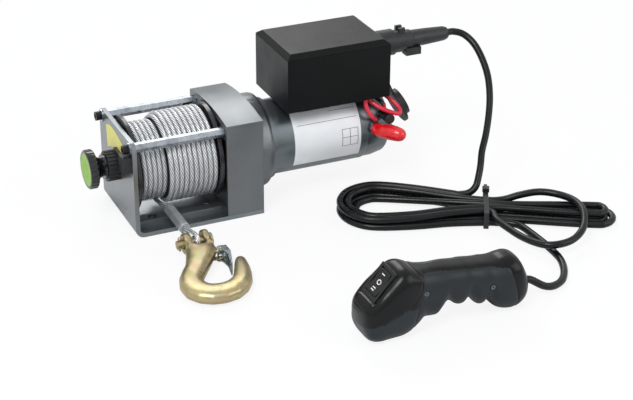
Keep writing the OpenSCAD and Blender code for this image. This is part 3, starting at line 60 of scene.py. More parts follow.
cam = shown("camera", bpy.data.cameras.new("camera"))
cam.data.sensor_width = FILM_MM
cam.data.lens = FOCAL_PX * FILM_MM / WIDE_PX
cam.data.clip_start, cam.data.clip_end = 0.05, 20
cam.matrix_world = Matrix.Translation(CAMERA_PLACE) @ Matrix(CAMERA_AXES.T.tolist()).to_4x4()
bpy.context.scene.camera = cam
bpy.context.scene.view_settings.view_transform = "Standard"

# Numbers of a map range node's sockets
VALUE, FROM_LOW, FROM_HIGH, TO_LOW, TO_HIGH = range(5)


def linear(hex_text):
    """Linear colour of an sRGB hex value: c/12.92 below 0.04045, else ((c+0.055)/1.055)^2.4."""
    c = np.array([int(hex_text[i:i + 2], 16) for i in (0, 2, 4)]) / 255
    return tuple(np.where(c <= 0.04045, c / 12.92, ((c + 0.055) / 1.055) ** 2.4)) + (1.0,)


def emptied(owner):
    """The node tree of a material or world, with nothing in it."""
    owner.use_nodes = True
    owner.node_tree.nodes.clear()
    return owner.node_tree


def add(tree, kind, put=None, **given):
    """Adds a node, sets its fields by name, and sets or links its sockets from put."""
    n = tree.nodes.new("ShaderNode" + kind)
    for k, v in given.items():
        setattr(n, k, v)
    for k, v in (put or {}).items():
        if isinstance(v, bpy.types.NodeSocket):
            tree.links.new(v, n.inputs[k])
        else:
            n.inputs[k].default_value = v
    return n


world = bpy.context.scene.world or bpy.data.worlds.new("world")
bpy.context.scene.world = world
air = emptied(world)
ray = add(air, "LightPath")
seen = add(air, "Math", {0: ray.outputs["Is Camera Ray"], 1: ray.outputs["Is Transmission Ray"]},
           operation="MAXIMUM")
height = add(air, "SeparateXYZ", {0: add(air, "TexCoord").outputs["Generated"]}).outputs["Z"]
height_share = add(air, "MapRange", {VALUE: height, FROM_LOW: -1.0, FROM_HIGH: 1.0}).outputs[0]
# What gloss sees: dark low down, white overhead, as a room with a light ceiling
band = add(air, "ValToRGB", {0: height_share})
dark, light = band.color_ramp.elements
dark.position, dark.color = 0.44, linear("8e9093")
light.position, light.color = 0.62, linear("ffffff")
dim = add(air, "Background", {"Color": linear("f7faff"), "Strength": 0.5})
gloss = add(air, "Background", {"Color": band.outputs[0], "Strength": 0.9})
white = add(air, "Background", {"Color": linear("ffffff"), "Strength": 1.0})
soft = add(air, "MixShader", {0: ray.outputs["Is Glossy Ray"], 1: dim.outputs[0], 2: gloss.outputs[0]})
whole = add(air, "MixShader", {0: seen.outputs[0], 1: soft.outputs[0], 2: white.outputs[0]})
add(air, "OutputWorld", {0: whole.outputs[0]})


def lamp(name, place, target, size, power):
    """A square area lamp of that size in metres and power in watts, turned to face target."""
    o = shown(name, bpy.data.lights.new(name, "AREA"))
    o.data.size, o.data.energy = size, power
    o.location = place
    way = np.array(target) - np.array(place)
    o.rotation_euler = Vector(way).to_track_quat("-Z", "Y").to_euler()


lamp("key", (-0.9, -1.0, 1.7), (0.1, -0.1, 0), 0.9, 27)
lamp("fill", (1.5, -1.3, 0.9), (0.1, -0.1, 0), 1.2, 8)
lamp("back", (0.4, 1.5, 1.4), (0.1, 0, 0), 1.0, 14)

# White paper under the winch. To the camera most of it is its own plain white, and the rest takes
# the soft shadows.
FLOOR_HALF_M = 6
OWN_WHITE = 0.86
corners = [(x * FLOOR_HALF_M, y * FLOOR_HALF_M, 0) for x, y in ((-1, -1), (1, -1), (1, 1), (-1, 1))]
floor = bpy.data.meshes.new("floor")
floor.from_pydata(corners, [], [(0, 1, 2, 3)])
floor_ob = shown("floor", floor)
paper = bpy.data.materials.new("white_paper")
sheet = emptied(paper)
matt = add(sheet, "BsdfDiffuse", {"Color": linear("efefef")})
bare = add(sheet, "Emission", {"Color": linear("ffffff"), "Strength": 1.0})
own = add(sheet, "Math", {0: add(sheet, "LightPath").outputs["Is Camera Ray"], 1: OWN_WHITE},
          operation="MULTIPLY")
both = add(sheet, "MixShader", {0: own.outputs[0], 1: matt.outputs[0], 2: bare.outputs[0]})
add(sheet, "OutputMaterial", {0: both.outputs[0]})
floor.materials.append(paper)

# Control cord. One black sheathed cord runs from the plug down to a figure-eight hank on the
# floor, held at its waist by a tie, and on to the handset. It is limp rubber, 6.4 mm thick.
MM = 0.001
BOLTS_X = 47.0
CORD_D = 6.4


def to_frame(points):
    """Points in mm, x from the left end plate, as metres in the frame, which starts amid the bolts."""
    return (np.asarray(points, float) - [BOLTS_X, 0, 0]) * MM


def unit(v):
    """The vector divided by its length."""
    return v / np.linalg.norm(v)


def mix(a, b, t):
    """a + (b - a) * t."""
    return a + (b - a) * t


def ease(t):
    """Smoothstep: u*u*(3-2u) for t held between 0 and 1."""
    u = np.clip(t, 0, 1)
    return u * u * (3 - 2 * u)


def smooth(points, n):
    """Cubic curve through the points, n steps between two, with slope (next - last)/2 at each."""
    p = np.asarray(points, float)
    a, b = np.vstack([p[:1], p[:-2]]), p[:-1]
    c, d = p[1:], np.vstack([p[2:], p[-1:]])
    t = (np.arange(n) / n)[:, None, None]
    q = (2 * b + (c - a) * t + (2 * a - 5 * b + 4 * c - d) * t ** 2 + (3 * b - a - 3 * c + d) * t ** 3) / 2
    return np.vstack([q.transpose(1, 0, 2).reshape(-1, p.shape[1]), p[-1:]])


plug_end = np.array([321.05, 0, 123.0])
feed_route = [[336, -4, 120.5], [342, -13, 114], [344, -26, 104], [343, -40, 92], [338, -54, 79],
              [331, -66, 66], [322, -78, 53], [313, -88, 42], [307, -97, 33], [302, -103, 25.5],
              [297, -107.5, 19], [291, -107, 14]]
# The hank's middle and turn, the step from one row to the next, the lower layer's height over the
# floor, and half the width of the waist, which is five rows
ROW_GAP, FLOOR_GAP = 0.65, 0.9
hank_mid, hank_turn = np.array([297, -131.5]), math.radians(-28)
row_step = CORD_D + ROW_GAP
low_z = CORD_D / 2 + FLOOR_GAP
waist = 2.5 * row_step
# Half the length and width of the left and right lobes, and how many loops the lower layer has
left_u, left_v, right_u, right_v, low_n = 97, 34, 94, 22, 3
loose = [[14, 12, 12], [28, 14, 16], [45, 16, 18.6], [62, 12, 18.6], [75, 1, 18.6], [81, -16, 18.4],
         [81, -33, 15], [77, -46, 12.5], [69, -58, 11.2], [58, -66, 11.2], [47, -67, 10.6],
         [36, -60, 9.6], [25, -49, 9.2], [15, -36, 9.6], [6, -24, 10.6]]


def hank_at(k, i):
    """Point i of 24 on loop k: front run to the left arc, back run, right arc, front run home.

    The left arc is points 3 to 9 and the right arc points 15 to 21, at 30 degrees each. Rows lie a
    row step apart, and a loop moves to the next row as it passes the waist.
    """
    to_right = ease((i - 12) / 3)
    if k < low_n:
        row = k + to_right - (to_right if k == low_n - 1 else 0)
    else:
        row = 2 * low_n - 1 - k - ease(i / 3)
    level = 0 if k < low_n - 1 else ease((i - 9) / 3) if k == low_n - 1 else 1
    d, z = row_step * row, low_z + row_step * level

    def spread_at(lobe_v, f):
        return mix(lobe_v, waist, ease(f))

    if i < 3:
        return [-left_u * i / 3, d - spread_at(left_v, 1 - i / 3), z]
    if i < 10:
        a = math.radians(-90 - 30 * (i - 3))
        return [-left_u + (left_v - d) * math.cos(a), (left_v - d) * math.sin(a), z]
    if i < 13:
        return [-left_u * (12 - i) / 3, spread_at(left_v, (i - 9) / 3) - d, z]
    if i < 15:
        return [right_u * (i - 12) / 3, spread_at(right_v, (15 - i) / 3) - d, z]
    if i < 22:
        a = math.radians(90 - 30 * (i - 15))
        return [right_u + (right_v - d) * math.cos(a), (right_v - d) * math.sin(a), z]
    return [right_u * (24 - i) / 3, d - spread_at(right_v, (i - 21) / 3), z]


hank_start = np.array(hank_at(0, 0)) + [CORD_D, 0, 0]
loops = [hank_at(k, i) for k in range(4) for i in range(13 if k == 3 else 24)]
last_half = [hank_at(4, i) for i in range(12)]
hank = np.array([hank_start] + loops + loose + last_half, float)
co, si = math.cos(hank_turn), math.sin(hank_turn)
hank = np.column_stack([hank_mid[0] + hank[:, 0] * co - hank[:, 1] * si,
                        hank_mid[1] + hank[:, 0] * si + hank[:, 1] * co, hank[:, 2]])
tail_route = [[272, -267, 8], [283, -265, 4.6], [295, -258, 3.4], [305, -245, 3.4], [312, -228, 3.4],
              [314, -210, 3.4], [314, -194, 3.4], [313, -178, 3.6], [311, -164, 4], [306, -157, 4.1]]
handset_end = np.array([252.05, -266, 16.8])
feed = [plug_end, plug_end + [CORD_D, 0, 0]] + feed_route + [hank[-1] + CORD_D * unit(hank[-1] - hank[-2])]
tail = [hank[0] + CORD_D * unit(hank[0] - hank[1])] + tail_route[::-1]
tail += [handset_end + [CORD_D, 0, 0], handset_end]
cord_line = to_frame(smooth(np.vstack([feed, hank[::-1], tail]), 4))


def link(name, mesh, material, body, slot, *nodes):
    """Puts a mesh or curve in the scene as a piece on a body, in place of CAD nodes."""
    o = shown(name, mesh)
    mesh.materials.append(material)
    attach(o, body)
    if nodes:
        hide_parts(*nodes)
    return o


# Numbers of a colour mix node's sockets
SHARE, COLOUR_A, COLOUR_B = 0, 6, 7


def surface(name, base, second, patch_mm, grain_mm, grain, rough, spread=0.08, metal=0.0, ior=1.5, coat=0.0):
    """A finish with two close colours in soft patches, a fine grain in bump, and uneven gloss.

    The patches are patch_mm wide. The grain is grain_mm wide and as strong as grain says. The
    roughness goes from rough - spread to rough + spread. Real grain is mostly finer than 0.3 mm and
    wouldn't show in the render, so it is drawn 0.4 to 1.2 mm wide.
    """
    m = bpy.data.materials.new(name)
    t = emptied(m)
    at = add(t, "TexCoord").outputs["Object"]
    patch = add(t, "TexNoise", {"Vector": at, "Scale": 1000 / patch_mm, "Detail": 4.0, "Roughness": 0.6})
    fine = add(t, "TexNoise", {"Vector": at, "Scale": 1000 / grain_mm, "Detail": 3.0, "Roughness": 0.55})
    tint = add(t, "MapRange", {VALUE: patch.outputs[0], FROM_LOW: 0.35, FROM_HIGH: 0.65})
    colour = add(t, "Mix", {SHARE: tint.outputs[0], COLOUR_A: linear(base), COLOUR_B: linear(second)},
                 data_type="RGBA")
    uneven = add(t, "MapRange", {VALUE: patch.outputs[0], FROM_LOW: 0.3, FROM_HIGH: 0.7,
                                 TO_LOW: rough - spread, TO_HIGH: rough + spread})
    bump = add(t, "Bump", {"Strength": grain, "Distance": 0.0002, "Height": fine.outputs[0]})
    skin = add(t, "BsdfPrincipled", {"Base Color": colour.outputs[2], "Metallic": metal,
                                     "Roughness": uneven.outputs[0], "IOR": ior, "Coat Weight": coat,
                                     "Coat Roughness": 0.12, "Normal": bump.outputs[0]})
    add(t, "OutputMaterial", {0: skin.outputs[0]})
    return m


# Rubber sheath, extruded: soft satin with a faint drawn grain, nearly black
sheath = surface("extruded_rubber_sheath", "0a0c0d", "111315", 30, 1.2, 0.2, 0.3, ior=1.35)
cord_curve = bpy.data.curves.new("control_cord", "CURVE")
cord_curve.dimensions = "3D"
cord_curve.bevel_depth, cord_curve.bevel_resolution = CORD_D / 2 * MM, 3
cord_curve.use_fill_caps = True
line = cord_curve.splines.new("POLY")
line.points.add(len(cord_line) - 1)
line.points.foreach_set("co", np.column_stack([cord_line, np.ones(len(cord_line))]).ravel())
line.use_smooth = True
cord = link("control_cord", cord_curve, sheath, "winch", "cord_rubber", "cord_feed", "cord_hank", "cord_tail")

# Frame: the bent base and its bars are sheet steel, the gear housing is a casting, and two hexagon
# bars tie them. They keep their solids' form, in merged copies with softly broken edges.
MERGE_M, FLAT_DEG = 2e-6, 0.6
body_of = {n: b for b, nodes in frame["record"]["behaviour"]["bodies"].items() for n in nodes}
slot_of = {s["node"]: s["material_slot"] for s in frame["record"]["subparts"]}


def dress(node, material, edge_mm=0.0, angle=35, name=None, steps=2):
    """A copy of a node's mesh, merged, its flat faces joined, with rounded edges of that width."""
    name = name or node + "_dressed"
    bm = bmesh.new()
    bm.from_mesh(frame["nodes"][node].data)
    bmesh.ops.remove_doubles(bm, verts=bm.verts, dist=MERGE_M)
    bmesh.ops.dissolve_limit(bm, angle_limit=math.radians(FLAT_DEG), verts=bm.verts, edges=bm.edges)
    mesh = bpy.data.meshes.new(name)
    bm.to_mesh(mesh)
    bm.free()
    mesh.materials.clear()
    mesh.shade_smooth()
    mesh.set_sharp_from_angle(angle=math.radians(angle))
    o = link(name, mesh, material, body_of[node], slot_of[node], node)
    if edge_mm:
        b = o.modifiers.new("edges", "BEVEL")
        b.width, b.segments = edge_mm * MM, steps
        b.limit_method, b.angle_limit = "ANGLE", math.radians(angle)
        b.harden_normals = True
    return o


def keep(material, *nodes):
    """Gives the material to nodes whose solids are shown as they are."""
    for n in nodes:
        o = frame["nodes"][n]
        o.data.materials.clear()
        o.data.materials.append(material)


# Grey metallic paint on steel: it reflects softly like satin metal, with slight orange peel
frame_paint = surface("metallic_paint_on_sheet_steel", "7a8083", "84898c", 45, 0.7, 0.06, 0.33,
                      metal=0.85, coat=0.15)
# The same paint on a casting: darker, and a little rougher
cast_paint = surface("metallic_paint_on_casting", "6a6e70", "74787a", 40, 0.8, 0.12, 0.36,
                     metal=0.85, coat=0.1)
dress("base_frame", frame_paint, 0.5)
dress("gear_housing", cast_paint, 1.2, steps=3)
dress("mounting_bars", frame_paint, 0.4)
# Bright zinc on drawn bar: mirror-like, with greyer patches
zinc = surface("bright_zinc_plate", "b9bfc5", "858d95", 9, 0.9, 0.1, 0.26, spread=0.1, metal=1.0)
dress("tie_bars", zinc, 0.4, angle=25)
# Blackened screws: a dull dark sheen
black_screw = surface("blackened_steel", "19191b", "26272a", 6, 0.6, 0.1, 0.35, metal=0.7)
dress("frame_screws", black_screw, 0.25)
keep(zinc, "frame_washers", "motor_bolts", "relays", "box_screws", "clutch_rod", "terminals")

# Inside: ground steel gears and bearings, bronze bushes, and the motor's magnets, brushes and
# wound armature. Nothing of it shows from outside.
gear_steel = surface("ground_steel", "9aa0a4", "b0b5b8", 12, 0.5, 0.1, 0.3, metal=1.0)
keep(gear_steel, "ring_gear", "motor_bearings", "drum_carrier", "drum_planet_a", "drum_planet_b",
     "drum_planet_c", "motor_carrier", "motor_planet_a", "motor_planet_b", "motor_planet_c")
keep(surface("sintered_bronze", "a97f45", "b98d52", 8, 0.5, 0.3, 0.4, metal=1.0), "drum_bushes")
keep(surface("ferrite", "3c3c3e", "4a4a4c", 10, 0.6, 0.4, 0.6), "motor_magnets")
keep(surface("paper_laminate", "6b4a2c", "7a5634", 10, 0.8, 0.2, 0.5), "brush_holder")
keep(surface("pressed_carbon", "2c2c2d", "3a3a3a", 5, 0.4, 0.3, 0.5), "brushes")
keep(surface("copper_wound_laminations", "8a5a38", "a06a42", 6, 0.7, 0.4, 0.35, metal=1.0), "armature")

# Drum: black painted steel with two flanges. The rope is 4 mm galvanised wire rope of six
# strands, five turns on the lower layer at the left and the rest one layer higher.
# Enamel on pressed steel: black and smooth, with a soft shine
drum_black = surface("black_enamel_on_steel", "17181a", "222326", 20, 0.8, 0.15, 0.3, coat=0.2)
dress("drum", drum_black, 0.4)
AXIS_Z = 51.4
ROPE_R, LAY_M = 2.0, 0.027
# The flanges' inner faces, and the radius of the rope's middle on each layer
barrel_x, right_flange_x, low_r, high_r = 9.0, 80.0, 33.0, 38.5
TURN_GAP, FLANGE_GAP = 0.45, 0.3
pitch = 2 * ROPE_R + TURN_GAP
first_x, last_x = barrel_x + ROPE_R + FLANGE_GAP, right_flange_x - ROPE_R - FLANGE_GAP
turns = (last_x - first_x) / pitch
# The turn at which the rope climbs to the upper layer, and the share of a turn that this takes
climb_at, climb_share = 5.15, 0.5
RINGS = 230


def grid(name, verts, closed_u=False, closed_v=False, caps=False):
    """A mesh from an array of points rows x columns, its rows and columns joined where closed."""
    r, c = verts.shape[:2]
    rows, columns = np.arange(r if closed_u else r - 1), np.arange(c if closed_v else c - 1)
    i, j = np.meshgrid(rows, columns, indexing="ij")
    i2, j2 = (i + 1) % r, (j + 1) % c
    quads = np.stack([i * c + j, i * c + j2, i2 * c + j2, i2 * c + j], -1).reshape(-1, 4).tolist()
    if caps:
        quads += [list(range(c))[::-1], [(r - 1) * c + k for k in range(c)]]
    m = bpy.data.meshes.new(name)
    m.from_pydata(verts.reshape(-1, 3).tolist(), [], quads)
    m.shade_smooth()
    uv = m.uv_layers.new(name="along")
    at = np.empty(len(m.loops), int)
    m.loops.foreach_get("vertex_index", at)
    uv.data.foreach_set("uv", np.column_stack([at // c / r, at % c / c]).ravel())
    return m


def around(n):
    """n angles, evenly round one turn."""
    return np.arange(n) * 2 * np.pi / n


def carried(points):
    """Tangent, side and up vectors along a line, each side vector carried on from the last."""
    t = np.gradient(points, axis=0)
    t /= np.linalg.norm(t, axis=1)[:, None]
    n = np.empty_like(t)
    n[0] = unit(np.cross(t[0], [1, 0, 0] if abs(t[0][2]) > 0.9 else [0, 0, 1]))
    for k in range(1, len(t)):
        n[k] = unit(n[k - 1] - n[k - 1].dot(t[k]) * t[k])
    return t, n, np.cross(t, n)


def strand_rope(name, points, radius, sides=36, strands=6):
    """A tube whose section is radius*(0.74+0.26*crown), turned once along each lay.

    The crown is |cos(strands/2*angle)|^0.7, and the points keep it as an attribute.
    """
    n, b = carried(points)[1:]
    run = np.r_[0, np.cumsum(np.linalg.norm(np.diff(points, axis=0), axis=1))]
    a = around(sides)
    crown = np.abs(np.cos(strands / 2 * a)) ** 0.7
    r = (radius * (0.74 + 0.26 * crown))[None, :, None]
    w = (a[None] - 2 * np.pi * run[:, None] / LAY_M)[..., None]
    v = points[:, None] + r * (np.cos(w) * n[:, None] + np.sin(w) * b[:, None])
    m = grid(name, v, closed_v=True, caps=True)
    m.attributes.new("crown", "FLOAT", "POINT").data.foreach_set("value", np.tile(crown, len(points)))
    return m


def skin_of(material):
    """The principled shader of a material."""
    return next(n for n in material.node_tree.nodes if n.type == "BSDF_PRINCIPLED")


# Galvanised wire: bright grey zinc, with painted shade darkening the valleys between the strands' crowns
wire = surface("galvanised_wire", "e8eaeb", "d8dbdd", 9, 0.45, 0.4, 0.34, metal=0.6)
wire_tree = wire.node_tree
wire_base = skin_of(wire).inputs["Base Color"]
crown_at = add(wire_tree, "Attribute", attribute_name="crown").outputs["Fac"]
crown_share = add(wire_tree, "MapRange", {VALUE: crown_at, FROM_LOW: 0.2, FROM_HIGH: 0.8}).outputs[0]
# Painted shade: where the crown attribute is low, between the strands, the wire's colour goes to dark grey
valley_shade = add(wire_tree, "Mix", {SHARE: crown_share, COLOUR_A: linear("2b2e31"),
                                 COLOUR_B: wire_base.links[0].from_socket}, data_type="RGBA")
wire_tree.links.new(valley_shade.outputs[2], wire_base)

k = np.arange(int(turns * RINGS) + 1) / RINGS
wind_r = mix(low_r, high_r, ease((k - climb_at) / climb_share))
wound = np.column_stack([first_x + pitch * k, wind_r * np.sin(2 * np.pi * k),
                         AXIS_Z - wind_r * np.cos(2 * np.pi * k)])
wound_mesh = strand_rope("rope_turns", to_frame(wound), ROPE_R * MM)
link("rope_turns", wound_mesh, wire, "drum", "wire_rope", "rope_winding")


def lathe(name, profile, steps=96):
    """A profile of (place along the drum axis, radius) points, turned about that axis."""
    p = np.asarray(profile, float)
    a = around(steps)
    v = np.stack([np.repeat(p[:, :1], steps, 1), p[:, 1:] * np.sin(a), AXIS_Z + p[:, 1:] * np.cos(a)], -1)
    return grid(name, to_frame(v), closed_v=True)


# The layers beneath are one plain core, just inside the outer turns and clear of the flanges
core_r, sunk, clear = 20, 0.9, 0.05
core_left, core_right = barrel_x + clear, right_flange_x - clear
step_left, step_right = first_x + pitch * 5.6, first_x + pitch * 5.7
core = [[core_left, core_r], [core_left, low_r - sunk], [step_left, low_r - sunk],
        [step_right, high_r - sunk], [core_right, high_r - sunk], [core_right, core_r]]
# Wire in the shade of the outer turns: dark and dull
under = surface("galvanised_wire_in_shade", "4b4e51", "3a3d40", 5, 0.6, 0.5, 0.5, metal=0.8)
link("rope_under_layers", lathe("rope_under_layers", core), under, "drum", "wire_rope", "rope_winding")

# Rope end: the tail leaves the drum low, its ferrule is pressed flat-sided, and the eye is bent
# round the hook's pin over a short steel sleeve.
ferrule_start, ferrule_end = np.array([37, -26, 12.6]), np.array([38.4, -62, 10.2])
way = unit(ferrule_end - ferrule_start)
tail_z = AXIS_Z - low_r - 2 * ROPE_R - 0.4
tail_points = [[31, 4, tail_z], [31, -3, tail_z], [31.8, -10, 13.8], [33.6, -16, 13.2],
               ferrule_start - 6 * way, ferrule_start]
tail_line = to_frame(smooth(tail_points, 10))
tail_mesh = strand_rope("rope_tail_strands", tail_line, ROPE_R * MM)
rope_end = link("rope_tail_strands", tail_mesh, wire, "winch", "wire_rope", "rope_tail")
PIN = np.array([38.5, -87.5, 10.0])
EYE_R, EYE_FROM_DEG, EYE_SWEEP_DEG, EYE_STEPS = 7.4, 65, 230, 32
turn = np.radians(EYE_FROM_DEG + EYE_SWEEP_DEG * np.arange(EYE_STEPS + 1) / EYE_STEPS)
arc = np.column_stack([np.full(len(turn), PIN[0]), PIN[1] + EYE_R * np.cos(turn),
                       PIN[2] + EYE_R * np.sin(turn)])
upper_leg = [[PIN[0], -62.6, 11.8], [PIN[0], -66.6, 12.4]]
lower_leg = [[PIN[0], -66.6, 7.6], [PIN[0], -62.6, 8.2]]
eye_line = to_frame(smooth(np.vstack([upper_leg, arc, lower_leg]), 4))
eye_mesh = strand_rope("rope_eye_strands", eye_line, ROPE_R * MM)
eye_rope = link("rope_eye_strands", eye_mesh, wire, "winch", "wire_rope", "rope_eye")
# The sleeve: (place along the pin, radius) points, turned about the pin
sleeve = np.array([[-2, 3.96], [-2, 5.4], [-1.6, 5.45], [1.6, 5.45], [2, 5.4], [2, 3.96]])
a = around(48)
v = np.stack([np.repeat(PIN[0] + sleeve[:, :1], len(a), 1), PIN[1] + sleeve[:, 1:] * np.cos(a),
              PIN[2] + sleeve[:, 1:] * np.sin(a)], -1)
sleeve_mesh = grid("rope_eye_sleeve", to_frame(v), closed_u=True, closed_v=True)
eye_sleeve = link("rope_eye_sleeve", sleeve_mesh, zinc, "winch", "zinc", "rope_eye")
# Pressed ferrule: pale soft metal, slightly dulled by the press
ferrule_metal = surface("pressed_zinc_ferrule", "aeb3b6", "bfc3c5", 7, 0.6, 0.2, 0.36, metal=0.7)
ferrule = dress("ferrule", ferrule_metal, 0.8, angle=25, steps=3)


# Hook: drop-forged steel with yellow zinc plate, whose thin layer shifts from gold to pink and
# green. The latch is folded sheet in blue zinc, with a wire spring round its pin.
def plated(name, colours, patch_mm, rough, grain):
    """A plated metal whose tint wanders through the colours in patches of that size."""
    m = surface(name, colours[0], colours[1], patch_mm, 1.1, grain, rough, metal=1.0)
    t = m.node_tree
    at = next(n for n in t.nodes if n.type == "TEX_COORD").outputs["Object"]
    cloud = add(t, "TexNoise", {"Vector": at, "Scale": 1000 / patch_mm * 0.8, "Detail": 5.0,
                                "Distortion": 0.8})
    ramp = add(t, "ValToRGB", {0: cloud.outputs[0]})
    first_at, last_at = 0.30, 0.72
    e = ramp.color_ramp.elements
    e[0].position, e[0].color = first_at, linear(colours[0])
    e[1].position, e[1].color = last_at, linear(colours[-1])
    for i, c in enumerate(colours[1:-1]):
        e.new(mix(first_at, last_at, (i + 1) / (len(colours) - 1))).color = linear(c)
    t.links.new(ramp.outputs[0], skin_of(m).inputs["Base Color"])
    return m


def forged(node, material, voxel_mm, rounds):
    """A node's copy, remeshed at that voxel size and relaxed, so its corners run into each other."""
    o = dress(node, material, name=node + "_forging")
    r = o.modifiers.new("one_skin", "REMESH")
    r.mode, r.voxel_size, r.use_smooth_shade = "VOXEL", voxel_mm * MM, True
    s = o.modifiers.new("relax", "SMOOTH")
    s.factor, s.iterations = 0.5, rounds
    return o


gold = plated("yellow_zinc_plate", ["a39668", "b6aa80", "b39d80", "a0a27c", "a5975f"], 11, 0.38, 0.2)
forged("hook", gold, 0.6, 60)
# Blue zinc on folded sheet: cooler, and shinier than the forging
blue_zinc = plated("blue_zinc_plate", ["a4b0b8", "bcc6ca", "aebbb4"], 9, 0.28, 0.15)
dress("hook_latch", blue_zinc, 0.25)
dress("hook_pin", gold, 0.4, steps=3)
keep(zinc, "latch_spring")

# Clutch: a moulded boss with ribs, a knob with a fluted rim, and a green disc let into its face.
# The boss is dull nylon, the knob is polished, and the disc is printed and half matt.
moulded = surface("moulded_nylon", "161719", "1e1f22", 14, 1.0, 0.35, 0.42)
dress("clutch_housing", moulded, 0.3)
shiny = surface("polished_abs", "111213", "1a1b1d", 16, 1.2, 0.08, 0.2, coat=0.2)
dress("clutch_knob", shiny, 0.35)
green = surface("lime_printed_disc", "7db112", "8dc020", 9, 1.0, 0.05, 0.4)
dress("knob_disc", green, 0.15)

# Sticker: yellow printed film on the end plate's outside, curved round the clutch's boss. It is
# thin, so it is one sheet of faces between its outer and inner edges.
# Printed film: bright yellow, half matt
film = surface("yellow_printed_film", "e3dc5a", "e9e47c", 8, 1.2, 0.05, 0.4)
FILM_X = -0.12
outer = smooth([[0, 26.6, 78.5], [0, 14.7, 82.6], [0, -1.9, 82.1], [0, -15.1, 79.2], [0, -21.5, 77.3]], 8)
inner = smooth([[0, 24.5, 58.2], [0, 12, 63.2], [0, 0, 65.4], [0, -9, 64], [0, -15.1, 62.2]], 8)
film_line = np.stack([outer, inner * 0.5 + outer * 0.5, inner], 0)
film_line[..., 0] = FILM_X
link("plate_sticker", grid("plate_sticker", to_frame(film_line)), film, "winch", "green_disc")

# Motor: a rolled steel tube in dark metallic enamel with a cast flange and end cap, and a blank
# silver plate on its side, printed with plain rules only.
MOTOR_R = 34.1
# Enamel with fine metal in it: dark, with long soft highlights along the tube
enamel = surface("dark_metallic_enamel", "6a7276", "737b7f", 60, 0.6, 0.03, 0.33, spread=0.04,
                 metal=0.92, coat=0.3)
# The same enamel on a casting: a little darker and less smooth
cap_enamel = surface("dark_enamel_on_casting", "5a6063", "636a6d", 30, 0.9, 0.08, 0.32, metal=0.9, coat=0.3)
dress("motor_flange", enamel, 0.4)
dress("motor_can", enamel, 0.4)
dress("motor_end_cap", cap_enamel, 0.5)


def on_motor(name, x0, x1, low, top, lift, nx=24, na=40):
    """A patch of the motor's skin between two places along it and two angles up from the rope side."""
    x, a = np.meshgrid(np.linspace(x0, x1, nx), np.radians(np.linspace(low, top, na)), indexing="ij")
    r = MOTOR_R + lift
    return grid(name, to_frame(np.stack([x, -r * np.cos(a), AXIS_Z + r * np.sin(a)], -1)))


def joined(name, meshes):
    """One mesh of them all."""
    bm = bmesh.new()
    for m in meshes:
        bm.from_mesh(m)
    whole_mesh = bpy.data.meshes.new(name)
    bm.to_mesh(whole_mesh)
    bm.free()
    return whole_mesh


# Printed foil: smooth pale silver, with its rules in dull dark ink
plate = surface("silver_printed_foil", "eceeef", "e2e6e9", 30, 1.0, 0.04, 0.36, metal=0.05)
link("rating_plate", on_motor("rating_plate", 154, 218.6, -34, 84, 0.12), plate, "winch", "zinc")
ink = surface("dark_printing_ink", "4a4c50", "55585c", 5, 0.8, 0.05, 0.5)
# Rules as (from, to) along the motor and (from, to) in degrees up: two lines, then a square of four
along = [(158, 216, 33.0, 33.7), (190, 216, 48, 48.6), (200, 215.6, 16, 16.7), (200, 215.6, 3, 3.7),
         (200, 215.6, -10.7, -10)]
upright = [(200, 200.5, -10.7, 16.7), (207.6, 208.1, -10.7, 16.7), (215.2, 215.7, -10.7, 16.7)]
rules = [on_motor("rule", *r, 0.2, 6, 2) for r in along] + [on_motor("rule", *r, 0.2, 2, 8) for r in upright]
link("plate_rules", joined("plate_rules", rules), ink, "winch", "zinc")

# Terminals: red and black rubber boots over the motor's studs, with red and black leads. Vinyl
# boots are glossy, and the leads' sheaths are satin.
red_rubber = surface("red_vinyl_boot", "d90d18", "e8202a", 12, 1.0, 0.06, 0.16, coat=0.3)
red_sheath = surface("red_cable_sheath", "cf1c3a", "d8243f", 10, 1.0, 0.1, 0.3)
black_sheath = surface("black_cable_sheath", "18191a", "222325", 10, 1.0, 0.15, 0.35)
# In metres: the black stud's place and its boot's radius and front end, then the black lead's box
STUD_X, STUD_Z, BOOT_R, BOOT_FRONT = 0.195, 0.0685, 0.0048, -0.0455
LEAD_X0, LEAD_X1, LEAD_TOP, LEAD_FRONT = 0.1885, 0.1975, 0.0885, -0.0325
boot = dress("terminal_boots", red_rubber, 0.6, steps=3)
leads = dress("motor_leads", red_sheath, angle=80)
for o in (boot, leads):
    o.data.materials.append(black_sheath)
for p in boot.data.polygons:
    if math.hypot(p.center.x - STUD_X, p.center.z - STUD_Z) < BOOT_R and p.center.y > BOOT_FRONT:
        p.material_index = 1
for p in leads.data.polygons:
    if LEAD_X0 < p.center.x < LEAD_X1 and p.center.z < LEAD_TOP and p.center.y > LEAD_FRONT:
        p.material_index = 1

# Control box: two moulded shells with a lid, on a saddle over the motor, with the socket, plug
# and the socket's dust cap in softer black. The box is satin, and all the rest is duller.
box_abs = surface("moulded_abs_satin", "08090a", "0d0e0f", 35, 0.9, 0.2, 0.34, ior=1.25)
dress("control_box", box_abs, 2.0, steps=4)
dress("box_lid", box_abs, 1.3, angle=20, steps=3)
dress("box_bracket", drum_black, 0.5)
dress("socket", surface("moulded_nylon_socket", "131416", "1a1b1d", 12, 0.9, 0.3, 0.4), 0.35)
dress("plug", surface("moulded_soft_plug", "17191a", "1f2123", 14, 1.1, 0.3, 0.45), 0.5)
dress("dust_cap", surface("moulded_black_rubber", "111213", "191a1b", 12, 1.1, 0.3, 0.5), 0.35)
dress("cord_tie", moulded, 0.15)

# Handset: two glossy shells joined down the middle, a seam round the head, a soft grip panel let
# into each side, and a three-way rocker switch with generic legends on the sloping face.
HX, HY, HL, HH, HT = 101.0, -266.0, 151.0, 60.0, 40.0
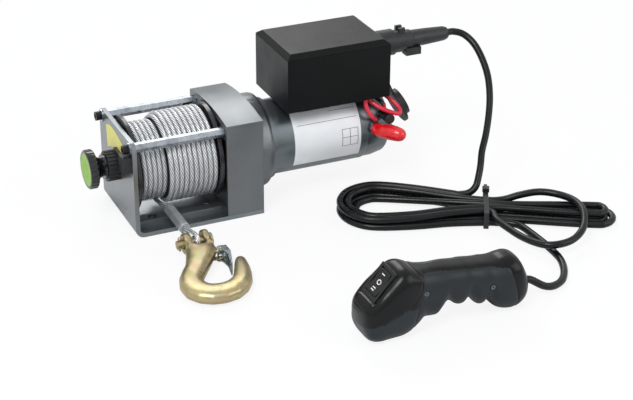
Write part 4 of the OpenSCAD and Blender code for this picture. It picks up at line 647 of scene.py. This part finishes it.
# Stations from the nose to the cord's end: the place along it, the underside, the top and the
# thickness, as shares of its length, height, height and thickness
shares = np.array([[.028, .22, .4, .5], [.036, .13, .47, .7], [.052, .055, .54, .86], [.08, .015, .62, .95],
                   [.115, 0, .71, 1], [.155, 0, .8, 1], [.195, 0, .89, 1], [.235, 0, .955, 1],
                   [.27, .015, .965, .98], [.3, .045, .94, .95], [.335, .1, .905, .9], [.37, .17, .88, .86],
                   [.41, .165, .86, .84], [.445, .165, .85, .83], [.47, .23, .845, .82], [.5, .31, .84, .81],
                   [.53, .31, .835, .81], [.565, .25, .825, .82], [.6, .24, .815, .82], [.63, .3, .81, .82],
                   [.66, .26, .8, .83], [.69, .18, .79, .84], [.72, .17, .78, .85], [.75, .24, .77, .86],
                   [.785, .11, .765, .88], [.82, .045, .765, .9], [.86, .01, .78, .91], [.9, 0, .78, .9],
                   [.935, .02, .73, .86], [.965, .08, .6, .76], [.988, .16, .44, .56], [1, .22, .34, .3]])
fine = smooth(shares, 9)
fine_x = fine[:, 0]
low, top, wide = HH * fine[:, 1], HH * fine[:, 2], HT / 2 * fine[:, 3]
# Each section is |across|^power + |up|^power = 1, squarer at the head than along the grip
HEAD_POWER, GRIP_POWER = 3.8, 2.7
sides = 120
a = around(sides)
power = mix(HEAD_POWER, GRIP_POWER, ease((fine_x - 0.2) * 5))[:, None]
reach = (np.abs(np.cos(a)) ** power + np.abs(np.sin(a)) ** power) ** (-1 / power)
shell = np.stack([np.repeat(HX + HL * fine_x[:, None], sides, 1), HY + wide[:, None] * reach * np.cos(a),
                  (low + top)[:, None] / 2 + (top - low)[:, None] / 2 * reach * np.sin(a)], -1)
# The switch's face: its middle, and its directions up along the face and out of it
lean = math.radians(49)
face_o = np.array([HX + HL * 0.145, HY, HH * 0.765])
face_x = np.array([math.cos(lean), 0, math.sin(lean)])
face_z = np.array([-math.sin(lean), 0, math.cos(lean)])


def dist_to_line(p, q):
    """Least distance of points p (n,2) to the closed line through q (m,2), and which are inside."""
    q2 = np.roll(q, -1, 0)
    d = q2 - q
    t = np.clip(((p[:, None] - q) * d).sum(-1) / (d * d).sum(-1), 0, 1)
    gap = np.linalg.norm(p[:, None] - (q + t[..., None] * d), axis=-1).min(1)
    spans = (q[:, 1] > p[:, 1:]) != (q2[:, 1] > p[:, 1:])
    cross = spans & (p[:, :1] < d[:, 0] * (p[:, 1:] - q[:, 1]) / (d[:, 1] + 1e-12) + q[:, 0])
    return gap, cross.sum(1) % 2 == 1


hull = shell.reshape(-1, 3)
side_view = hull[:, [0, 2]] - [HX, 0]
# The grip panel's outline, in shares of the length and height
panel = np.array([[.355, .86], [.6, .79], [.8, .72], [.87, .6], [.87, -.1], [.33, -.1]])
panel_line = smooth(np.vstack([panel, panel[:1]]) * [HL, HH], 5)[:-1]
panel_gap, in_panel = dist_to_line(side_view, panel_line)
# The seam round the head, as (length, height) points, closed in front so that it has an inside
seam_line = smooth([[30, 66], [40, 60.5], [48, 55], [51.5, 46], [47, 36], [36, 27.5], [23, 21.5], [8, 17.5],
                    [-6, 15]], 6)
seam_gap, in_head = dist_to_line(side_view, np.vstack([seam_line, [[-40, 10], [-40, 110], [30, 110]]]))
# Depth and half width of the groove round the panel, of the seam's and of a screw's dish
PANEL_GROOVE, SEAM_GROOVE, SCREW_DISH = (0.5, 0.6), (0.45, 0.55), (1.9, 2.4)


def dent(distance, depth, half_width, power=2):
    """depth*e^-(distance/half_width)^power."""
    return depth * np.exp(-(distance / half_width) ** power)


sink = dent(panel_gap, *PANEL_GROOVE) + dent(seam_gap, *SEAM_GROOVE)
# The screws sit in dished holes on the near side, at these shares of the length and height
for along_share, up_share in (0.365, 0.6), (0.755, 0.47):
    far = np.hypot(hull[:, 0] - HX - HL * along_share, hull[:, 2] - HH * up_share)
    sink += np.where(hull[:, 1] < HY, dent(far, *SCREW_DISH, power=4), 0)
# The fingers' places are scooped out of the sides, a little above the underside
SCOOP_DEEP, SCOOP_HALF_LONG, SCOOP_HALF_HIGH, SCOOP_UP = 1.5, 5.5, 8, 7
for along_share in (0.512, 0.632, 0.752):
    beside = (hull[:, 0] - HX - HL * along_share) / SCOOP_HALF_LONG
    above = (hull[:, 2] - np.repeat(low, sides) - SCOOP_UP) / SCOOP_HALF_HIGH
    sink += SCOOP_DEEP * np.exp(-beside ** 2 - above ** 2)
# The face is cut flat round the switch, 0.25 mm down, and the bezel stands in it
FACE_HALF_UP, FACE_HALF_WIDE, FACE_REACH, FACE_DOWN = 16, 13, 3, 0.25
out_d = (hull - face_o) @ face_z
up_d = (hull - face_o) @ face_x
inward = np.column_stack([hull[:, 0], np.full(len(hull), HY), np.repeat((low + top) / 2, sides)]) - hull
inward /= np.linalg.norm(inward, axis=1)[:, None] + 1e-9
hull = hull + inward * sink[:, None]
in_face = (np.abs(up_d) < FACE_HALF_UP) & (np.abs(hull[:, 1] - HY) < FACE_HALF_WIDE) & (out_d > -FACE_REACH)
hull = hull - np.where(in_face, np.maximum(out_d + FACE_DOWN, 0), 0)[:, None] * face_z
hand_mesh = grid("handset_shell", to_frame(hull.reshape(shell.shape)), closed_v=True, caps=True)
# Shells: near-black ABS with a soft shine. The grip is soft rubber, matt and faintly blue, and the jaw under
# the seam is the same ABS with a fine spark texture, coloured paler and bluer as a painted reflection of the
# floor's light.
hand_black = surface("satin_moulded_abs", "08090a", "0d0e0f", 30, 1.0, 0.05, 0.24, ior=1.32)
link("handset_shell", hand_mesh, hand_black, "winch", "handset_plastic", "handset_front", "handset_rear",
     "finger_grip")
grip_rubber = surface("soft_touch_grip", "131a1d", "192124", 14, 0.8, 0.3, 0.42, ior=1.4)
# Painted reflection: the jaw's colour is lighter and bluer than the shell's, for the floor's light it would
# catch
jaw_abs_painted_reflection = surface("satin_moulded_abs_lower_painted_reflection", "182023", "1f282c", 25, 1.0, 0.12, 0.36, ior=1.4)
hand_mesh.materials.append(grip_rubber)
hand_mesh.materials.append(jaw_abs_painted_reflection)
SHELL, GRIP, JAW = 0, 1, 2
in_jaw = ~in_head & (hull[:, 0] < HX + HL * 0.36) & (hull[:, 2] < HH * 0.44)
zone = np.where(in_panel & (panel_gap > 0.3), GRIP, np.where(in_jaw & (seam_gap > 0.7), JAW, SHELL))
faces = [list(p.vertices) for p in hand_mesh.polygons]
which = np.array([int(round(np.median(zone[f]))) if len(f) == 4 else SHELL for f in faces])
hand_mesh.polygons.foreach_set("material_index", which)
# The switch is polished plastic: black with small sharp highlights
gloss_black = surface("gloss_moulded_switch", "0c0d0e", "131415", 9, 1.0, 0.05, 0.22, ior=1.4)
dress("switch_bezel", gloss_black, 0.3)
dress("rocker", gloss_black, 0.3)
keep(black_screw, "switch_body")
# Dark zinc on the screws: a dull grey glint in their dishes
keep(surface("dark_zinc_plate", "6c7072", "7b7f81", 5, 0.6, 0.1, 0.35, metal=0.9), "handset_screws")
# The rocker's face is flat for this far from its middle, then rises by so much over so long
ROCKER_FLAT, ROCKER_RISE, ROCKER_RUN = 1.045, 1.6, 8.88
INK_LIFT = 0.08


def stroke(points, width):
    """A flat ribbon of that width along a line of (up, across) points on the rocker's face."""
    p = np.asarray(points, float)
    d = np.gradient(p, axis=0)
    d /= np.linalg.norm(d, axis=1)[:, None]
    side = np.column_stack([-d[:, 1], d[:, 0]]) * width / 2
    at = np.stack([p + side, p - side], 1)
    rise = ROCKER_RISE * np.clip((np.abs(at[..., 0]) - ROCKER_FLAT) / ROCKER_RUN, 0, 1) + INK_LIFT
    return face_o + at[..., :1] * face_x + at[..., 1:] * np.array([0, 1.0, 0]) + rise[..., None] * face_z


# Pad-printed marks for one way, off and the other way: a stroke, a ring and two strokes, in opaque
# white that is half matt.
BAR_HALF = 2.2
ring_a = np.linspace(0, 2 * np.pi, 25)
ring = np.column_stack([1.75 * np.sin(ring_a), 2.4 * np.cos(ring_a)])
marks = [stroke([[6.8, -BAR_HALF], [6.8, BAR_HALF]], 0.85), stroke(ring, 0.8)]
marks += [stroke([[up, -BAR_HALF], [up, BAR_HALF]], 0.8) for up in (-5.4, -7.5)]
mark_mesh = joined("switch_marks", [grid("mark", to_frame(s)) for s in marks])
white_print = surface("white_pad_print", "f0f0ee", "e6e6e4", 5, 1.0, 0.02, 0.5)
link("switch_marks", mark_mesh, white_print, "rocker", "gloss_black")
